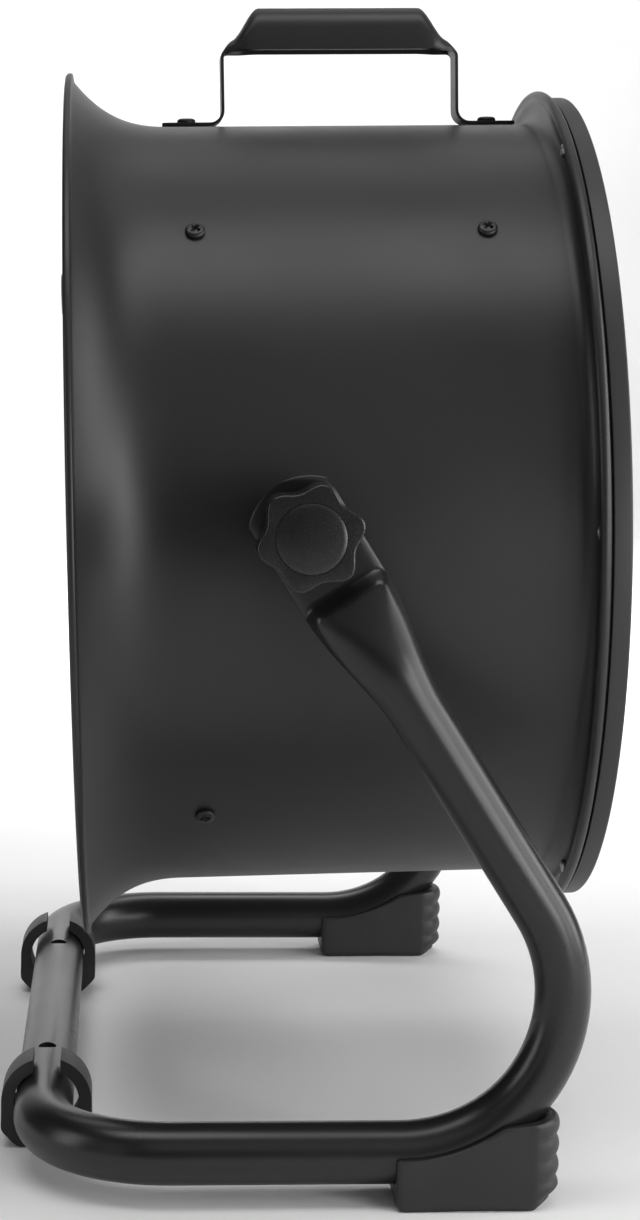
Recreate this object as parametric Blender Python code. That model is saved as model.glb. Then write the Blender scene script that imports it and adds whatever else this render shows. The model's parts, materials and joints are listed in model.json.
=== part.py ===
"""Axial air mover: a drum fan of the 14-inch class that tilts in a bent-tube floor stand.

World frame: +X is the way the air leaves, +Z is up, and the floor is z = 0.
Drum frame: origin on the tilt axis, x along the fan axis towards the outlet.
Every stretch of the model is in metres; MM turns a drawing size into metres.
"""
import math

import bmesh
import bpy
from mathutils import Matrix, Vector

MM = 0.001
GAP = 0.3 * MM                       # air left between two touching pieces

# --- driving dimensions ---------------------------------------------------------------
PIVOT_X = -6.87 * MM                 # puts the origin under the middle of the bounding box
PIVOT_Z = 290.9 * MM
REST_TILT = math.radians(1.67)       # outlet end up
AXIS_DROP = 3.3 * MM                 # the fan axis runs this far below the tilt axis
DRUM_SHIFT = -0.7 * MM               # where the drum's own x = 0 lies along the fan axis

DRUM_R = 187.5 * MM
SHEET = 1.2 * MM
REAR_RIM_X = -99.5 * MM              # centre of the rolled bead of the inlet bell
REAR_RIM_R = 211.5 * MM
BEAD_R = 2.0 * MM
BELL_LENGTH = 50.0 * MM
BELL_POWER = 2.8
FLANGE_X = 130.0 * MM                # rear face of the outlet flange
FLANGE_FILLET = 7.0 * MM
FLANGE_R = 201.0 * MM                # centre of the flange's rolled bead
FLANGE_BEAD_R = 2.6 * MM
BAND_R = 200.4 * MM
BAND_REAR_X = 134.3 * MM
BAND_FRONT_X = 142.8 * MM

TUBE_WALL = 1.5 * MM
LEG_HALF = (12.3 * MM, 12.7 * MM)    # in the leg's plane, across it
LOOP_HALF = (13.7 * MM, 13.3 * MM)   # upright, level
TUBE_Y = 217.2 * MM
TUBE_Z = 21.4 * MM
CROSS_X = -112.3 * MM                # from the tilt axis
CROSS_HOLE_Y = 99.0 * MM
CROSS_HOLE_R = 4.0 * MM
LEG_ANGLE = math.radians(32.6)       # from upright
LEG_BEND_R = 70.3 * MM
CORNER_R = 57.0 * MM

PADDLE_HALF_W = 20.1 * MM
PADDLE_END_R = 26.7 * MM
PADDLE_END_S = 1.9 * MM              # the end's arc is centred this far down the leg
PADDLE_HALF_T = 1.7 * MM
PADDLE_Y = 208.7 * MM
PADDLE_LENGTH = 31.4 * MM
CRUSH_THICK_END = 60.4 * MM
CRUSH_WIDE_END = 90.4 * MM

STUD_R = 4.0 * MM
STUD_HOLE_R = 4.6 * MM
KNOB_LOBE_R = 23.2 * MM
KNOB_VALLEY_R = 19.3 * MM
KNOB_LOBES = 6
KNOB_PHASE = math.radians(14.6)

REAR_SCREW_X = -43.0 * MM
FRONT_SCREW_X = 89.0 * MM
SCREW_ANGLES = tuple(math.radians(a) for a in (45, 135, 225, 315))

MOTOR_R = 52.0 * MM
MOTOR_FLANGE_R = 62.0 * MM
SHAFT_R = 6.0 * MM
BLADE_COUNT = 4
BLADE_ROOT_R = 40.0 * MM
BLADE_TIP_R = 177.0 * MM
BLADE_X = 52.0 * MM

SPEED_KNOB_R = 12.3 * MM
SPEED_KNOB_RADIUS = 105.7 * MM       # from the fan axis
WIRE_R = 1.3 * MM


# --- scene and materials ----------------------------------------------------------------
for old in list(bpy.data.objects):
    bpy.data.objects.remove(old, do_unlink=True)

scene = bpy.context.scene


def material(name, color, roughness, metallic):
    """A plain Principled material."""
    mat = bpy.data.materials.new(name)
    mat.use_nodes = True
    shader = mat.node_tree.nodes["Principled BSDF"]
    shader.inputs["Base Color"].default_value = (*color, 1.0)
    shader.inputs["Roughness"].default_value = roughness
    shader.inputs["Metallic"].default_value = metallic
    return mat


POWDER = material("drum_powder_coat", (0.040, 0.040, 0.042), 0.55, 0.2)
TUBE_PAINT = material("tube_paint", (0.045, 0.045, 0.047), 0.42, 0.2)
GRIP_PAINT = material("handle_paint", (0.030, 0.030, 0.031), 0.5, 0.2)
RUBBER = material("black_rubber", (0.025, 0.025, 0.026), 0.75, 0.0)
PLASTIC = material("black_plastic", (0.028, 0.028, 0.030), 0.5, 0.0)
WIRE = material("guard_wire_paint", (0.025, 0.025, 0.026), 0.45, 0.2)
BLACK_STEEL = material("black_screw_steel", (0.05, 0.05, 0.05), 0.35, 0.8)
ZINC = material("zinc_steel", (0.55, 0.55, 0.56), 0.35, 1.0)
ALUMINIUM = material("blade_aluminium", (0.62, 0.63, 0.64), 0.35, 1.0)
MOTOR_PAINT = material("motor_paint", (0.03, 0.03, 0.03), 0.5, 0.3)
LAMINATION = material("stator_laminations", (0.30, 0.28, 0.26), 0.5, 0.9)
CAPACITOR = material("capacitor_case", (0.62, 0.62, 0.60), 0.5, 0.0)


# --- frames ---------------------------------------------------------------------------
def frame_empty(name, location, rotation=(0, 0, 0), parent=None):
    empty = bpy.data.objects.new(name, None)
    empty.location = location
    empty.rotation_euler = rotation
    empty.parent = parent
    scene.collection.objects.link(empty)
    return empty


STAND = frame_empty("stand_frame", (PIVOT_X, 0, 0))
DRUM = frame_empty("drum_frame", (PIVOT_X, 0, PIVOT_Z), (0, -REST_TILT, 0))
AXIS = frame_empty("fan_axis_frame", (DRUM_SHIFT, 0, -AXIS_DROP), parent=DRUM)
ROTOR = frame_empty("rotor_frame", (DRUM_SHIFT, 0, -AXIS_DROP), parent=DRUM)
SPEED = frame_empty("speed_knob_frame", (DRUM_SHIFT, 0, SPEED_KNOB_RADIUS - AXIS_DROP), parent=DRUM)


# --- mesh helpers -----------------------------------------------------------------------
def finish_mesh(name, bm, mat, parent, smooth=True):
    """Turn a bmesh with outward faces into a named, shaded object."""
    mesh = bpy.data.meshes.new(name)
    bm.to_mesh(mesh)
    bm.free()
    mesh.materials.append(mat)
    obj = bpy.data.objects.new(name, mesh)
    obj.parent = parent
    scene.collection.objects.link(obj)
    if smooth:
        mesh.shade_smooth()
        mesh.set_sharp_from_angle(angle=math.radians(35))
    return obj


def loft(bm, rings, closed=False):
    """Skin rings of equal length; open skins get a cap at both ends."""
    loops = [[bm.verts.new(p) for p in ring] for ring in rings]
    count = len(loops[0])
    pairs = list(zip(loops, loops[1:]))
    if closed:
        pairs.append((loops[-1], loops[0]))
    faces = []
    for low, high in pairs:
        for i in range(count):
            j = (i + 1) % count
            faces.append(bm.faces.new((low[i], low[j], high[j], high[i])))
    if not closed:
        faces.append(bm.faces.new(list(reversed(loops[0]))))
        faces.append(bm.faces.new(loops[-1]))
    bmesh.ops.recalc_face_normals(bm, faces=faces)
    return faces


def turned_into(bm, profile, segments):
    """Turn a closed (x, r) outline about the x axis; r = 0 points become poles."""
    start = len(bm.faces)
    rings = []
    for x, r in profile:
        if r == 0:
            rings.append([bm.verts.new((x, 0, 0))])
            continue
        ring = []
        for k in range(segments):
            a = 2 * math.pi * (k + 0.5) / segments
            ring.append(bm.verts.new((x, r * math.cos(a), r * math.sin(a))))
        rings.append(ring)
    for low, high in zip(rings, rings[1:] + rings[:1]):
        if len(low) == 1 and len(high) == 1:
            continue
        for k in range(segments):
            n = (k + 1) % segments
            corners = [low[k % len(low)], low[n % len(low)], high[n % len(high)], high[k % len(high)]]
            corners = list(dict.fromkeys(corners))
            bm.faces.new(corners)
    bm.faces.ensure_lookup_table()
    bmesh.ops.recalc_face_normals(bm, faces=bm.faces[start:])


def turned(name, profile, mat, parent=AXIS, segments=48):
    bm = bmesh.new()
    turned_into(bm, profile, segments)
    return finish_mesh(name, bm, mat, parent)


def prism_into(bm, outline, depth, place):
    """Extrude a flat (u, v) outline from w = 0 to w = depth, then move it by place."""
    bottom = [place @ Vector((u, v, 0)) for u, v in outline]
    top = [place @ Vector((u, v, depth)) for u, v in outline]
    loft(bm, [bottom, top])


def prism(name, outline, depth, place, mat, parent):
    bm = bmesh.new()
    prism_into(bm, outline, depth, place)
    return finish_mesh(name, bm, mat, parent)


def rectangle(width, height):
    u, v = width / 2, height / 2
    return [(-u, -v), (u, -v), (u, v), (-u, v)]


def circle(radius, sides, phase=0.0):
    step = 2 * math.pi / sides
    return [(radius * math.cos(phase + k * step), radius * math.sin(phase + k * step)) for k in range(sides)]


def arc(center, radius, start, end, steps):
    """Points on an arc, angles in degrees."""
    points = []
    for k in range(steps + 1):
        a = math.radians(start + (end - start) * k / steps)
        points.append((center[0] + radius * math.cos(a), center[1] + radius * math.sin(a)))
    return points


def facing(origin, normal, up=(0, 0, 1)):
    """Matrix whose local z is normal and whose local y is as near up as it can be."""
    z = Vector(normal).normalized()
    x = Vector(up).cross(z).normalized()
    y = z.cross(x)
    rot = Matrix((x, y, z)).transposed().to_4x4()
    return Matrix.Translation(origin) @ rot


def boolean(target, cutters, operation="DIFFERENCE"):
    """Apply exact booleans at once, and drop the cutters."""
    for cutter in cutters:
        mod = target.modifiers.new(operation.lower(), "BOOLEAN")
        mod.operation = operation
        mod.solver = "EXACT"
        mod.object = cutter
    bpy.context.view_layer.update()
    graph = bpy.context.evaluated_depsgraph_get()
    result = bpy.data.meshes.new_from_object(target.evaluated_get(graph))
    target.modifiers.clear()
    old = target.data
    target.data = result
    bpy.data.meshes.remove(old)
    for cutter in cutters:
        bpy.data.objects.remove(cutter, do_unlink=True)
    target.data.shade_smooth()
    target.data.set_sharp_from_angle(angle=math.radians(35))
    return target


def cylinder_cutter(parent, start, end, radius, sides=16):
    direction = Vector(end) - Vector(start)
    up = (1, 0, 0) if abs(direction.normalized().z) > 0.9 else (0, 0, 1)
    place = facing(start, direction, up)
    return prism("cutter", circle(radius, sides), direction.length, place, PLASTIC, parent)


def smoothstep(value):
    t = min(1.0, max(0.0, value))
    return t * t * (3 - 2 * t)


def mix(a, b, t):
    return a + (b - a) * t


# --- stand: one bent tube with pressed ends ------------------------------------------------
LEG_DIR = Vector((math.sin(LEG_ANGLE), 0, -math.cos(LEG_ANGLE)))
BEND_Z = TUBE_Z + LEG_BEND_R
BEND_X = ((PIVOT_Z - BEND_Z) * math.sin(LEG_ANGLE) - LEG_BEND_R) / math.cos(LEG_ANGLE)
LEG_TANGENT = Vector((BEND_X + LEG_BEND_R * math.cos(LEG_ANGLE), 0,
                      BEND_Z + LEG_BEND_R * math.sin(LEG_ANGLE)))
LEG_LENGTH = (LEG_TANGENT - Vector((0, 0, PIVOT_Z))).length


def tube_ring(center, u_axis, v_axis, half, squareness, sides):
    """One cross-section: an ellipse, squared up where the end is pressed flat."""
    ring = []
    for k in range(sides):
        a = 2 * math.pi * (k + 0.5) / sides
        c = math.copysign(abs(math.cos(a)) ** squareness, math.cos(a))
        s = math.copysign(abs(math.sin(a)) ** squareness, math.sin(a))
        ring.append(center + u_axis * (half[0] * c) + v_axis * (half[1] * s))
    return ring


def leg_section(s):
    """Half sizes, squareness and inward shift of the leg, s metres below the tilt axis."""
    wide = smoothstep((s - PADDLE_LENGTH) / (CRUSH_WIDE_END - PADDLE_LENGTH))
    thick = smoothstep((s - PADDLE_LENGTH) / (CRUSH_THICK_END - PADDLE_LENGTH))
    half_w = mix(PADDLE_HALF_W, LEG_HALF[0], wide)
    if s < 0:
        half_w = min(half_w, math.sqrt(PADDLE_END_R ** 2 - (s - PADDLE_END_S) ** 2))
    half_t = mix(PADDLE_HALF_T, LEG_HALF[1], thick)
    return (half_w, half_t), mix(0.3, 1.0, thick), mix(TUBE_Y - PADDLE_Y, 0.0, thick)


def half_stand_stations():
    """Stations from the pressed end down the -Y leg to the middle of the cross tube."""
    stations = []
    leg_stops = [-24.7, -23.8, -21.5, -18, -15.7, PADDLE_LENGTH / MM]
    leg_stops += [39, 46, 53, CRUSH_THICK_END / MM, 74, CRUSH_WIDE_END / MM]
    across = Vector((math.cos(LEG_ANGLE), 0, math.sin(LEG_ANGLE)))
    side = Vector((0, 1, 0))
    for stop in leg_stops:
        s = stop * MM
        half, squareness, inward = leg_section(s)
        center = Vector((0, -TUBE_Y + inward, PIVOT_Z)) + LEG_DIR * s
        stations.append((s, center, across, side, half, squareness))
    steps = 8
    sweep = math.pi / 2 + LEG_ANGLE
    for k in range(steps + 1):
        turn = LEG_ANGLE - sweep * k / steps
        radial = Vector((math.cos(turn), 0, math.sin(turn)))
        t = smoothstep((k / steps - 0.55) / 0.45)
        half = (mix(LEG_HALF[0], LOOP_HALF[0], t), mix(LEG_HALF[1], LOOP_HALF[1], t))
        center = Vector((BEND_X, -TUBE_Y, BEND_Z)) + radial * LEG_BEND_R
        stations.append((LEG_LENGTH, center, radial, side, half, 1.0))
    steps = 5
    corner = Vector((CROSS_X + CORNER_R, -TUBE_Y + CORNER_R, TUBE_Z))
    down = Vector((0, 0, -1))
    for k in range(steps + 1):
        turn = math.pi / 2 * k / steps
        outward = Vector((-math.sin(turn), -math.cos(turn), 0))
        stations.append((LEG_LENGTH, corner + outward * CORNER_R, down, -outward, LOOP_HALF, 1.0))
    return stations


def make_stand_tube():
    near = half_stand_stations()
    bm = bmesh.new()

    def rings(stations, inset, sides):
        out = []
        for _, center, u_axis, v_axis, half, squareness in stations:
            inner = (half[0] - inset, half[1] - inset)
            out.append(tube_ring(center, u_axis, v_axis, inner, squareness, sides))
        mirrored = [[Vector((p.x, -p.y, p.z)) for p in ring] for ring in reversed(out)]
        return out + mirrored

    loft(bm, rings(near, 0.0, 12))
    hollow = [st for st in near if st[0] > 50 * MM]
    inside = loft(bm, rings(hollow, TUBE_WALL, 8))
    bmesh.ops.reverse_faces(bm, faces=inside)
    tube = finish_mesh("stand_tube", bm, TUBE_PAINT, STAND)
    cutters = []
    for side in (-1, 1):
        hole_y = side * CROSS_HOLE_Y
        hole_start, hole_end = (CROSS_X, hole_y, TUBE_Z), (CROSS_X, hole_y, 2 * TUBE_Z)
        cutters.append(cylinder_cutter(STAND, hole_start, hole_end, CROSS_HOLE_R, 12))
        pivot_in = (0, side * (PADDLE_Y - 6 * MM), PIVOT_Z)
        pivot_out = (0, side * (PADDLE_Y + 6 * MM), PIVOT_Z)
        cutters.append(cylinder_cutter(STAND, pivot_in, pivot_out, STUD_HOLE_R, 16))
    return boolean(tube, cutters)


# --- stand feet ----------------------------------------------------------------------------
BOOT_REAR_X = 41.7 * MM
BOOT_FRONT_X = 114.3 * MM
BOOT_HALF_W = 16.8 * MM
BOOT_NOSE = 14.0 * MM
BOOT_LOW = 22.6 * MM
BOOT_LEVEL = 36.8 * MM               # where the wall's top stops climbing with the tube
BOOT_LEVEL_X = 88.3 * MM
BOOT_CURVE = 70.0 * MM               # radius of the climbing edge
CLIP_R = 20.9 * MM
CLIP_BORE_R = 15.0 * MM
CLIP_OPENING = 6.3 * MM
CLIP_CHAMFER = 7.5 * MM
CLIP_Y = (122.0 * MM, 144.0 * MM)
CLIP_SHIFT = 1.0 * MM                # each clip sits off centre, towards opposite ends


def boot_outline():
    """Plan outline, from the rear corner round the rounded front end."""
    points = [(BOOT_REAR_X, -BOOT_HALF_W)]
    shoulder = BOOT_FRONT_X - BOOT_NOSE
    for k in range(1, 5):
        points.append((mix(BOOT_REAR_X, shoulder, k / 5), -BOOT_HALF_W))
    steps = 10
    for k in range(steps + 1):
        a = -math.pi / 2 + math.pi * k / steps
        points.append((shoulder + BOOT_NOSE * math.cos(a), BOOT_HALF_W * math.sin(a)))
    for k in range(4, 0, -1):
        points.append((mix(BOOT_REAR_X, shoulder, k / 5), BOOT_HALF_W))
    points.append((BOOT_REAR_X, BOOT_HALF_W))
    return points


def boot_height(x):
    climb = BOOT_LOW + (x - BOOT_REAR_X) ** 2 / (2 * BOOT_CURVE)
    return min(climb, BOOT_LEVEL + 0.1 * (x - BOOT_LEVEL_X))


def make_boot(name, side):
    """A moulded shoe under the leg's bend, with a channel for the tube."""
    y = side * TUBE_Y
    bm = bmesh.new()
    outline = boot_outline()
    bottom = [(x, y + dy, 0) for x, dy in outline]
    top = [(x, y + dy, boot_height(x)) for x, dy in outline]
    loft(bm, [bottom, top])
    bmesh.ops.triangulate(bm, faces=[f for f in bm.faces if len(f.verts) > 4])
    boot = finish_mesh(name, bm, RUBBER, STAND)
    clearance = 0.5 * MM
    reach = 50 * MM
    half = (LOOP_HALF[0] + clearance, LOOP_HALF[1] + clearance)
    cross = [(half[0] * math.cos(a), half[1] * math.sin(a))
             for a in (math.radians(-90 + 15 * k) for k in range(13))]
    cross += [(-reach, half[1]), (-reach, -half[1])]
    rings = []
    for k in range(-2, 11):
        turn = -math.pi / 2 + k * math.radians(9)
        if k < 0:
            center = Vector((BEND_X + k * 12 * MM, y, TUBE_Z))
            radial = Vector((0, 0, -1))
        else:
            radial = Vector((math.cos(turn), 0, math.sin(turn)))
            center = Vector((BEND_X, y, BEND_Z)) + radial * LEG_BEND_R
        rings.append([center + radial * u + Vector((0, v, 0)) for u, v in cross])
    cut = bmesh.new()
    loft(cut, rings)
    return boolean(boot, [finish_mesh("cutter", cut, RUBBER, STAND)])


def make_clip(name, side):
    """An open rubber ring, flat underneath, snapped over the cross tube."""
    gap_angle = math.degrees(math.asin(CLIP_OPENING / CLIP_R))
    bore_angle = math.degrees(math.asin(CLIP_OPENING / CLIP_BORE_R))
    outline = arc((0, TUBE_Z), CLIP_R, 90 + gap_angle, 180, 6)
    outline += [(-CLIP_R, CLIP_CHAMFER), (-CLIP_R + CLIP_CHAMFER, 0)]
    outline += [(CLIP_R - CLIP_CHAMFER, 0), (CLIP_R, CLIP_CHAMFER)]
    outline += arc((0, TUBE_Z), CLIP_R, 0, 90 - gap_angle, 6)
    outline += arc((0, TUBE_Z), CLIP_BORE_R, 90 - bore_angle, -270 + bore_angle, 18)
    start = -CLIP_Y[1] if side < 0 else CLIP_Y[0]
    middle = CROSS_X - side * CLIP_SHIFT
    place = Matrix(((1, 0, 0, middle), (0, 0, 1, start), (0, 1, 0, 0), (0, 0, 0, 1)))
    return prism(name, outline, CLIP_Y[1] - CLIP_Y[0], place, RUBBER, STAND)


# --- drum ----------------------------------------------------------------------------------
def bell_radius(x):
    """Outer radius of the sheet where it flares into the inlet bell."""
    t = max(0.0, (REAR_RIM_X + BELL_LENGTH - x) / BELL_LENGTH)
    return DRUM_R + (REAR_RIM_R - DRUM_R) * t ** BELL_POWER


def drum_profile():
    """Outer skin from inlet to outlet, then the inner skin back."""
    bell_stops = [5, 14, 28, 50]
    outer = [(REAR_RIM_X + s * MM, bell_radius(REAR_RIM_X + s * MM)) for s in bell_stops]
    fillet_center = (FLANGE_X - FLANGE_FILLET, DRUM_R + FLANGE_FILLET)
    outer += arc(fillet_center, FLANGE_FILLET, -90, 0, 2)
    bead_center = (FLANGE_X + SHEET / 2, FLANGE_R)
    lip = [(FLANGE_X, FLANGE_R - 3.0 * MM)] + arc(bead_center, FLANGE_BEAD_R, 225, -45, 4)
    lip += [(FLANGE_X + SHEET, FLANGE_R - 3.0 * MM)]
    inner = arc(fillet_center, FLANGE_FILLET + SHEET, 0, -90, 2)
    inner += [(x, r - SHEET) for x, r in reversed(outer[:len(bell_stops)])]
    bead = arc((REAR_RIM_X, REAR_RIM_R), BEAD_R, -60, -300, 4)
    return outer + lip + inner + bead


def make_drum():
    drum = turned("drum_shell", drum_profile(), POWDER, segments=48)
    reach = DRUM_R + 20 * MM
    through = cylinder_cutter(DRUM, (0, -reach, 0), (0, reach, 0), STUD_HOLE_R, 16)
    return boolean(drum, [through])


def wall_frame(x, angle, radius):
    """Frame on the drum wall: local z points outwards, local y along the fan axis."""
    outward = (0, math.cos(angle), math.sin(angle))
    return facing((x, radius * outward[1], radius * outward[2]), outward, (1, 0, 0))


def screw(name, place, head_r, head_h, shank_l, parent=AXIS):
    """Pan-head screw: head on the +z side of the frame, shank the other way."""
    shank_r = 2.0 * MM
    profile = [(-shank_l, shank_r), (0, shank_r), (0, head_r), (head_h * 0.6, head_r * 0.85)]
    profile.append((head_h, head_r * 0.5))
    bm = bmesh.new()
    loft(bm, [[place @ Vector((u, v, z)) for u, v in circle(r, 10)] for z, r in profile])
    return finish_mesh(name, bm, BLACK_STEEL, parent)


def make_wall_screws():
    """Four screws through the drum wall for the motor bracket, and four for the guard brackets."""
    for row, x in (("rear", REAR_SCREW_X), ("front", FRONT_SCREW_X)):
        for index, angle in enumerate(SCREW_ANGLES):
            place = wall_frame(x, angle, DRUM_R + GAP)
            screw(f"{row}_wall_screw_{index + 1}", place, 4.6 * MM, 2.2 * MM, 7.5 * MM)


def hole_group(places, radius, depth, sides=10):
    """One cutter object with a cylinder through each place, both ways by depth."""
    bm = bmesh.new()
    for place in places:
        prism_into(bm, circle(radius, sides), 2 * depth, place @ Matrix.Translation((0, 0, -depth)))
    return finish_mesh("cutter", bm, PLASTIC, AXIS)


# --- handle: a strap pressed from one blank -----------------------------------------------
HANDLE_REAR_X = -25.0 * MM
HANDLE_FRONT_X = 91.0 * MM
HANDLE_CORNER_H = 36.5 * MM          # strap height above the drum at its corners
HANDLE_T = 1.5 * MM
STRAP_HALF_W = 9.8 * MM
GRIP_TOE = 4.5 * MM                  # first small rise of the grip, just inside its leg
GRIP_RISE = 16.0 * MM                # the main rise after it
GRIP_HALF_W = 12.5 * MM
REAR_FOOT_END_X = -55.0 * MM
FRONT_FOOT_END_X = 120.0 * MM
FOOT_BEND_R = 6.5 * MM
CORNER_BEND_R = 4.0 * MM
HANDLE_SCREW_X = (-43.0 * MM, 107.0 * MM)


def strap_path():
    """Centre line of the strap in (x, height above the drum), with its normal."""
    low = GAP + HANDLE_T / 2
    top = HANDLE_CORNER_H
    points = [(REAR_FOOT_END_X, low)]
    points += arc((HANDLE_REAR_X - FOOT_BEND_R, low + FOOT_BEND_R), FOOT_BEND_R, -90, 0, 4)
    points += arc((HANDLE_REAR_X + CORNER_BEND_R, top - CORNER_BEND_R), CORNER_BEND_R, 180, 90, 3)
    first, last = HANDLE_REAR_X + CORNER_BEND_R, HANDLE_FRONT_X - CORNER_BEND_R
    climb = (2, 5, 8, 11, 15)
    points += [(first + step * MM, top) for step in climb]
    points.append(((first + last) / 2, top))
    points += [(last - step * MM, top) for step in reversed(climb)]
    points += arc((HANDLE_FRONT_X - CORNER_BEND_R, top - CORNER_BEND_R), CORNER_BEND_R, 90, 0, 3)
    points += arc((HANDLE_FRONT_X + FOOT_BEND_R, low + FOOT_BEND_R), FOOT_BEND_R, 180, 270, 4)
    points.append((FRONT_FOOT_END_X, low))
    return points


def grip_crown(d):
    """Height of the grip's crown over its edges, d metres inside the nearer leg."""
    return GRIP_TOE * smoothstep(d / (5 * MM)) + GRIP_RISE * smoothstep((d - 4 * MM) / (14.5 * MM))


def make_handle():
    """Strap with flat feet and legs, and an arched grip open underneath."""
    points = strap_path()
    rings = []
    steps = 6
    for i, (x, h) in enumerate(points):
        ahead = points[min(i + 1, len(points) - 1)]
        behind = points[max(i - 1, 0)]
        run, rise = ahead[0] - behind[0], ahead[1] - behind[1]
        length = math.hypot(run, rise)
        normal = Vector((-rise / length, 0, run / length))
        inside = min(x - HANDLE_REAR_X, HANDLE_FRONT_X - x)
        crown = grip_crown(inside) if h > HANDLE_CORNER_H - 0.1 * MM else 0.0
        arched = crown / (GRIP_TOE + GRIP_RISE)
        half_w = mix(STRAP_HALF_W, GRIP_HALF_W, smoothstep(arched * 1.6))
        upper, lower = [], []
        for k in range(steps + 1):
            a = math.pi * k / steps
            side = -math.cos(a) * arched
            center = Vector((x, -math.cos(a) * half_w, DRUM_R + h + crown * math.sin(a) ** 0.62))
            across = (normal * (1 - 0.8 * abs(side)) + Vector((0, side, 0))).normalized()
            upper.append(center + across * (HANDLE_T / 2))
            lower.append(center - across * (HANDLE_T / 2))
        rings.append(upper + list(reversed(lower)))
    bm = bmesh.new()
    loft(bm, rings)
    handle = finish_mesh("carry_handle", bm, GRIP_PAINT, AXIS)
    places = [facing((x, 0, DRUM_R), (0, 0, 1), (1, 0, 0)) for x in HANDLE_SCREW_X]
    return boolean(handle, [hole_group(places, 2.4 * MM, 6 * MM)])


def make_handle_screws():
    for word, x in zip(("rear", "front"), HANDLE_SCREW_X):
        place = facing((x, 0, DRUM_R + HANDLE_T + 2 * GAP), (0, 0, 1), (1, 0, 0))
        screw(f"handle_screw_{word}", place, 4.7 * MM, 2.2 * MM, 9.0 * MM)


# --- outlet guard -----------------------------------------------------------------------
WELD_DEPTH = 1.3 * MM                # how far crossing wires sink into each other
FRONT_RIB_X = 137.2 * MM
FRONT_RING_X = FRONT_RIB_X + 2 * WIRE_R - WELD_DEPTH
FRONT_RINGS = [38 + 13.25 * k for k in range(13)]
REAR_RIB_X = -93.0 * MM
REAR_RING_X = REAR_RIB_X - 2 * WIRE_R + WELD_DEPTH
REAR_RINGS = [6.3 + 13.2 * k for k in range(15)]
BADGE_R = 34.0 * MM
FRONT_RIB_SPAN = (BADGE_R - 6 * MM, BAND_R - 2.2 * MM)
REAR_RIB_SPAN = (5.6 * MM, 200.6 * MM)


def make_guard(name, ring_x, radii, rib_x, rib_span, rib_count, phase=0.0):
    """Welded wire guard: round hoops with straight ribs across their inner side."""
    bm = bmesh.new()
    for radius in radii:
        outline = [(ring_x + u, radius * MM + v) for u, v in circle(WIRE_R, 4, math.pi / 4)]
        turned_into(bm, outline, 12 if radius < 70 else 20)
    guard = finish_mesh(name, bm, WIRE, AXIS)
    bm = bmesh.new()
    for k in range(rib_count):
        a = phase + 2 * math.pi * k / rib_count
        outward = Vector((0, math.cos(a), math.sin(a)))
        place = facing(Vector((rib_x, 0, 0)) + outward * rib_span[0], outward, (1, 0, 0))
        prism_into(bm, circle(WIRE_R, 4, math.pi / 4), rib_span[1] - rib_span[0], place)
    return boolean(guard, [finish_mesh("cutter", bm, WIRE, AXIS)], "UNION")


def make_guard_band():
    """Rolled hoop that closes the outlet guard, with a flange inside the drum's bead."""
    wall = 1.5 * MM
    profile = [
        (FLANGE_X + SHEET + GAP, 189.5 * MM),
        (FLANGE_X + SHEET + GAP, 197.6 * MM),
        (BAND_REAR_X, BAND_R - wall),
        (BAND_REAR_X, BAND_R),
        (BAND_FRONT_X - 0.8 * MM, BAND_R),
        (BAND_FRONT_X, BAND_R - 0.8 * MM),
        (BAND_FRONT_X, BAND_R - wall),
        (BAND_REAR_X + wall, BAND_R - wall - 0.2 * MM),
        (FLANGE_X + SHEET + GAP + wall, 196.9 * MM),
        (FLANGE_X + SHEET + GAP + wall, 189.5 * MM),
    ]
    return turned("guard_band", profile, WIRE, segments=48)


def make_badge(name, x, depth):
    """Blank round badge at the middle of a guard."""
    end = x + depth
    profile = [(x, 0), (x, BADGE_R), (x + depth * 0.6, BADGE_R), (end, BADGE_R - 2 * MM), (end, 0)]
    return turned(name, profile, PLASTIC, segments=24)


def radial_place(angle, half_width):
    """Frame for a plate cut to an (x, radius) outline, centred on a radial plane."""
    outward = Vector((0, math.cos(angle), math.sin(angle)))
    along = Vector((1, 0, 0))
    basis = Matrix((along, outward, along.cross(outward))).transposed().to_4x4()
    return basis @ Matrix.Translation((0, 0, -half_width))


def make_guard_brackets():
    """Four angle pieces inside the drum that steady the outlet guard."""
    top = DRUM_R - SHEET - 2.6 * MM
    end = FRONT_RIB_X - WIRE_R - GAP
    sheet = 2.0 * MM
    half_width = 8 * MM
    outline = [
        (FRONT_SCREW_X - 10 * MM, top),
        (end - 12 * MM, top),
        (end, top - 11 * MM),
        (end, top - 24 * MM),
        (end - sheet, top - 24 * MM),
        (end - sheet, top - 12 * MM),
        (end - 13 * MM, top - sheet),
        (FRONT_SCREW_X - 10 * MM, top - sheet),
    ]
    for index, angle in enumerate(SCREW_ANGLES):
        piece = prism(f"guard_bracket_{index + 1}", outline, 2 * half_width, radial_place(angle, half_width),
                      BLACK_STEEL, AXIS)
        boolean(piece, [hole_group([wall_frame(FRONT_SCREW_X, angle, top)], 2.4 * MM, 8 * MM, 8)])


# --- motor and its struts ----------------------------------------------------------------
MOTOR_REAR_X = -80.0 * MM
MOTOR_FRONT_X = -6.0 * MM
STRUT_T = 3.0 * MM
STRUT_HALF_W = 12.0 * MM
MOTOR_SHELL_T = 2.5 * MM
BEARING_R = 13.0 * MM
BEARING_LENGTH = 9.0 * MM


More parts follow.
